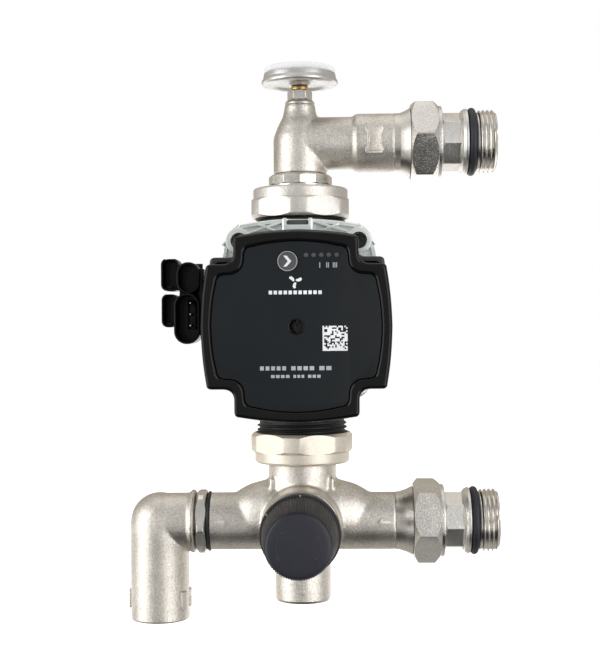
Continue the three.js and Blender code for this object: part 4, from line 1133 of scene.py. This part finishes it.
def buildPrinting():
    y, thick = box["panelFace"], 0.06
    white, grey = [], []

    def mark(group, low, high):
        group.append(block((low[0], y - thick, low[1]), (high[0], y + 0.12, high[1]), 0))

    for x, count in ((11.0, 1), (14.6, 2), (18.0, 3)):  # speed steps I, II, III
        for k in range(count):
            middleX = x + (k - (count - 1) / 2) * 0.78
            mark(grey, (middleX - 0.22, 27.1), (middleX + 0.22, 29.5))
    for degrees in (90, 210, 330):  # a plain three-bladed wheel
        blade = [(0.5, -0.2), (1.3, -0.95), (2.6, -1.15), (3.35, -0.55), (3.0, 0.35), (2.0, 0.25), (1.1, 0.55),
                 (0.5, 0.4)]
        white.append(shift(turn(prism(blade, y + 0.12, y - thick), "y", degrees), x=-0.4, z=20.9))
    for words, z, high, group in (((24.5,), 14.9, 1.7, white), ((12.0, 10.6, 5.6), -20.2, 1.9, grey),
                                  ((8.6, 5.0, 5.8), -23.7, 1.4, grey)):
        # rows of short strokes where a plate carries its marking
        gap = high * 0.42
        stroke = high * 0.95
        spaces = high * 1.25
        total = sum(words) + spaces * (len(words) - 1)
        x = -total / 2 - 0.4
        for word in words:
            strokes = max(2, round(word / (stroke + gap)))
            wide = (word - gap * (strokes - 1)) / strokes
            for k in range(strokes):
                left = x + k * (wide + gap)
                mark(group, (left, z), (left + wide, z + high))
            x += word + spaces
    cells, size, left, bottom = 16, 0.72, 12.1, -11.3
    for row in range(cells):  # a block of random cells inside a solid and a broken edge
        start = None
        for column in range(cells + 1):
            broken = (row == cells - 1 and column % 2 == 0) or (column == cells - 1 and row % 2 == 0)
            edge = row == 0 or column == 0 or broken
            on = column < cells and (edge or random.random() < 0.56)
            if on and start is None:
                start = column
            if not on and start is not None:
                low = bottom + row * size
                mark(white, (left + start * size, low), (left + column * size, bottom + (row + 1) * size))
                start = None
    place("panelMarksWhite", gather(*white), printWhite, sharp=45)
    place("panelMarksGrey", gather(*grey), printGrey, sharp=45)


baseFinish = plastic("satinBlackMoulding", (0.016, 0.015, 0.015), 0.38, coat=0.15, grain=1100, depth=0.00004)
buttonFinish = plastic("buttonGrey", (0.065, 0.068, 0.072), 0.38, grain=1500)
random.seed(7)
buildBox()
buildButton()
buildPrinting()
print("control box done")

sockets = {  # left, right, low, high, corner radius, back, front, wall
    "power": (-58.6, -46.2, -8.0, 16.2, 6.0, -54.0, -74.0, 1.2),
    "signal": (-57.4, -46.2, 16.0, 31.0, 5.4, -56.0, -73.0, 1.2),
    "upperLatch": (-65.2, -56.6, 17.4, 33.0, 3.0, -54.0, -70.0, 1.1),
    "lowerLatch": (-65.0, -57.6, 0.0, 16.0, 3.0, -54.0, -70.0, 1.1),
}


def roundedOutline(x0, x1, z0, z1, radius):
    def outline(inset):
        left, right, low, high, r = x0 + inset, x1 - inset, z0 + inset, z1 - inset, radius - inset
        points = []
        for x, z, start in ((right - r, high - r, 0), (left + r, high - r, 90), (left + r, low + r, 180),
                            (right - r, low + r, 270)):
            for k in range(9):
                a = math.radians(start + 90 * k / 8)
                points.append((x + r * math.cos(a), z + r * math.sin(a)))
        return points
    return outline


def buildSockets():
    shells = []
    for x0, x1, z0, z1, r, back, front, wall in sockets.values():
        outline = roundedOutline(x0, x1, z0, z1, r)
        shell = layered(outline, roundedStages(back, front, 0, 0.5, 0.55, 4))
        pocket = layered(outline, [(back - 3, wall), (front + 0.5, wall), (front - 0.3, wall - 0.45),
                                   (front - 1, wall - 0.5)])
        shells.append(carve(shell, pocket))
    bridge = block((-58, -56, -2), (-46.6, -54, 31), 0.3)
    arm = block((-47, -70, -4), (-44.8, -56, 28), 0.4)
    whole = shells[0]
    for part in (*shells[1:], bridge, arm):
        whole = carve(whole, part, "UNION")
    windows = (((-63.4, -71, 32.2), (-58.8, -64, 34)), ((-62.8, -71, 15.2), (-59.6, -64, 17)),
               ((-66, -66, 21), (-64.6, -61, 29)), ((-66, -66, 4), (-64.4, -61, 12)))
    whole = cutAll(whole, [block(low, high, 0.2) for low, high in windows])  # over the latches
    place("plugSockets", whole, socketFinish, ["socket_block"], sharp=45)
    keys = [block((-57.2, -72, 27.4), (-56.4, -60, 29.0), 0.15), block((-48.2, -72, 20), (-47.3, -60, 21.6), 0.15),
            block((-57.5, -73, 12.4), (-56.7, -60, 13.6), 0.15), block((-62.6, -68, 18.4), (-59.8, -58, 19.6), 0.2),
            block((-62.6, -68, 1.0), (-59.8, -58, 2.2), 0.2)]
    place("socketKeys", gather(*keys), socketFinish)
    rail = block((-53.5, -59.5, -1), (-49.5, -57.3, 13.5), 0.2)
    pins = [shift(lathe("y", [(-69.2, 0), (-69.2, 0.35), (-68.4, 0.82), (-58, 0.82), (-58, 0)], 24, 0.1), x=-51.3, z=z)
            for z in (11.6, 6.2, 0.8)]
    place("powerPins", gather(*pins), pinFinish, ["power_pins"], sharp=40)
    place("pinRail", rail, socketFinish)


socketFinish = plastic("socketMoulding", (0.0026, 0.0026, 0.0030), 0.24, coat=0.08, grain=900, depth=0.00002,
                       shine=0.16)
pinFinish = metal("tinnedPins", (0.62, 0.60, 0.56), (0.84, 0.82, 0.78), 0.22, 700)
buildSockets()
print("sockets done")

steelFinish = metal("pressedSteel", (0.50, 0.50, 0.49), (0.68, 0.67, 0.66), 0.26, 420)
carriedFinishes = {
    plastic("gasketRubber", (0.014, 0.015, 0.017), 0.6, grain=1500, depth=0.00008):
        ("upper_union_gasket", "lower_union_gasket", "upper_pump_gasket", "lower_pump_gasket"),
    metal("spindleBrass", (0.52, 0.36, 0.15), (0.80, 0.60, 0.30), 0.25, 600): ("valve_spindle", "thermostat_element"),
    plastic("shutterMoulding", (0.05, 0.052, 0.055), 0.42, grain=1300): ("mixing_shutter",),
    plastic("impellerMoulding", (0.10, 0.085, 0.05), 0.4, grain=900): ("impeller",),
    metal("springWire", (0.42, 0.42, 0.42), (0.66, 0.66, 0.65), 0.24, 800): ("shutter_spring",),
    steelFinish: ("bearing_plate", "rotor_can"),
    metal("coreLaminations", (0.22, 0.22, 0.23), (0.40, 0.40, 0.41), 0.38, 2600, 0.0001): ("stator_core",),
    metal("windingCopper", (0.50, 0.20, 0.09), (0.80, 0.40, 0.22), 0.3, 1500, 0.0002): ("stator_winding",),
    plastic("ceramicBearing", (0.62, 0.61, 0.57), 0.22, grain=700, lift=1.15):
        ("rear_bearing", "front_bearing", "shaft"),
    plastic("rotorFerrite", (0.045, 0.045, 0.05), 0.45, grain=900, depth=0.00006): ("rotor",),
    plastic("boardLacquer", (0.012, 0.10, 0.035), 0.3, coat=0.3, grain=400): ("circuit_board",),
}
for finish, names in carriedFinishes.items():
    for name in names:
        solid = bpy.data.objects[name]
        for number in range(len(solid.material_slots)):
            solid.material_slots[number].material = finish
print("carried-over parts finished")

# camera, light and floor
camera = {"distance": 0.68, "side": 1.5, "lens": 70.6, "roll": -0.4, "shiftX": -0.0021}
floor = {"drop": 0.4, "size": 6.0, "start": 0.8, "glow": 1.0, "tone": 0.85}
sky = {"front": 0.58, "back": 0.5, "below": 0.02, "warmth": (1.0, 0.93, 0.82)}
lamps = (  # name, direction from the object, distance, width and height, power, tint
    ("leftBox", (-0.91, -0.42, 0.05), 1.3, (0.95, 1.7), 11.5, (1, 0.99, 0.975)),
    ("rightBox", (0.69, -0.72, 0.05), 1.3, (0.85, 1.7), 9.5, (1, 0.99, 0.975)),
    ("topBox", (0.0, 0.1, 1.0), 1.3, (1.4, 1.2), 2.5, (1, 0.98, 0.95)),
)


def placeCamera(c):
    data = bpy.data.cameras.new("camera")
    data.lens = c["lens"]
    data.sensor_width = 36
    data.shift_x = c["shiftX"]
    data.clip_start = 0.01
    eye = bpy.data.objects.new("camera", data)
    bpy.context.scene.collection.objects.link(eye)
    side = math.radians(c["side"])
    eye.location = hub + Vector((math.sin(side), -math.cos(side), 0)) * c["distance"]
    aim = (hub - eye.location).to_track_quat("-Z", "Y").to_matrix().to_4x4()
    eye.matrix_world = Matrix.Translation(eye.location) @ aim @ Matrix.Rotation(math.radians(c["roll"]), 4, "Z")
    bpy.context.scene.camera = eye


def layFloor(f):
    ground = bmesh.new()
    bmesh.ops.create_grid(ground, x_segments=1, y_segments=1, size=f["size"] / 2)
    away = Vector((hub.x, f["start"] + f["size"] / 2, cadBox[0].z - f["drop"]))
    bmesh.ops.translate(ground, vec=away, verts=ground.verts)
    mesh = bpy.data.meshes.new("floor")
    ground.to_mesh(mesh)
    ground.free()
    s = Shader("paleFloor", Roughness=0.9, Emission_Color=(1, 1, 1, 1), Emission_Strength=f["glow"])
    s.surface.inputs["Base Color"].default_value = (f["tone"], f["tone"], f["tone"], 1)
    mesh.materials.append(s.material)
    piece = bpy.data.objects.new("floor", mesh)
    bpy.context.scene.collection.objects.link(piece)


def hangLamps():
    for name, direction, distance, size, power, tint in lamps:
        light = bpy.data.lights.new(name, "AREA")
        light.shape = "RECTANGLE"
        light.size, light.size_y = size
        light.energy = power
        light.color = tint
        lamp = bpy.data.objects.new(name, light)
        bpy.context.scene.collection.objects.link(lamp)
        lamp.location = hub + Vector(direction).normalized() * distance
        lamp.rotation_euler = (hub - lamp.location).to_track_quat("-Z", "Y").to_euler()


class Surroundings(Shader):  # the soft room round the object, by direction
    def __init__(self):
        world = bpy.data.worlds.new("studio")
        bpy.context.scene.world = world
        world.use_nodes = True
        self.tree = world.node_tree
        self.material = world
        self.surface = self.tree.nodes["Background"]
        self.place = self.add("TexCoord", out="Generated")


def lightRoom(r):
    s = Surroundings()
    y = s.add("SeparateXYZ", {}, {0: s.place}, out="Y")
    z = s.add("SeparateXYZ", {}, {0: s.place}, out="Z")
    seen = s.add("LightPath", out="Is Camera Ray")
    behind = s.span(y, 0.0, 0.6)
    shade = s.span(z, -0.62, -0.4, 1, 0) * s.span(y, -0.35, 0.3, 1, 0)
    level = (r["front"] - behind * (r["front"] - r["back"])) * (1 - shade) + shade * r["below"]
    s.done(
        Color=s.blend(behind * (1 - seen), (1, 1, 1), r["warmth"]),
        Strength=s.add("Math", {"operation": "MAXIMUM"}, {0: seen, 1: level}),
    )


placeCamera(camera)
layFloor(floor)
hangLamps()
lightRoom(sky)
bpy.context.scene.view_settings.view_transform = "Standard"
print("studio done")
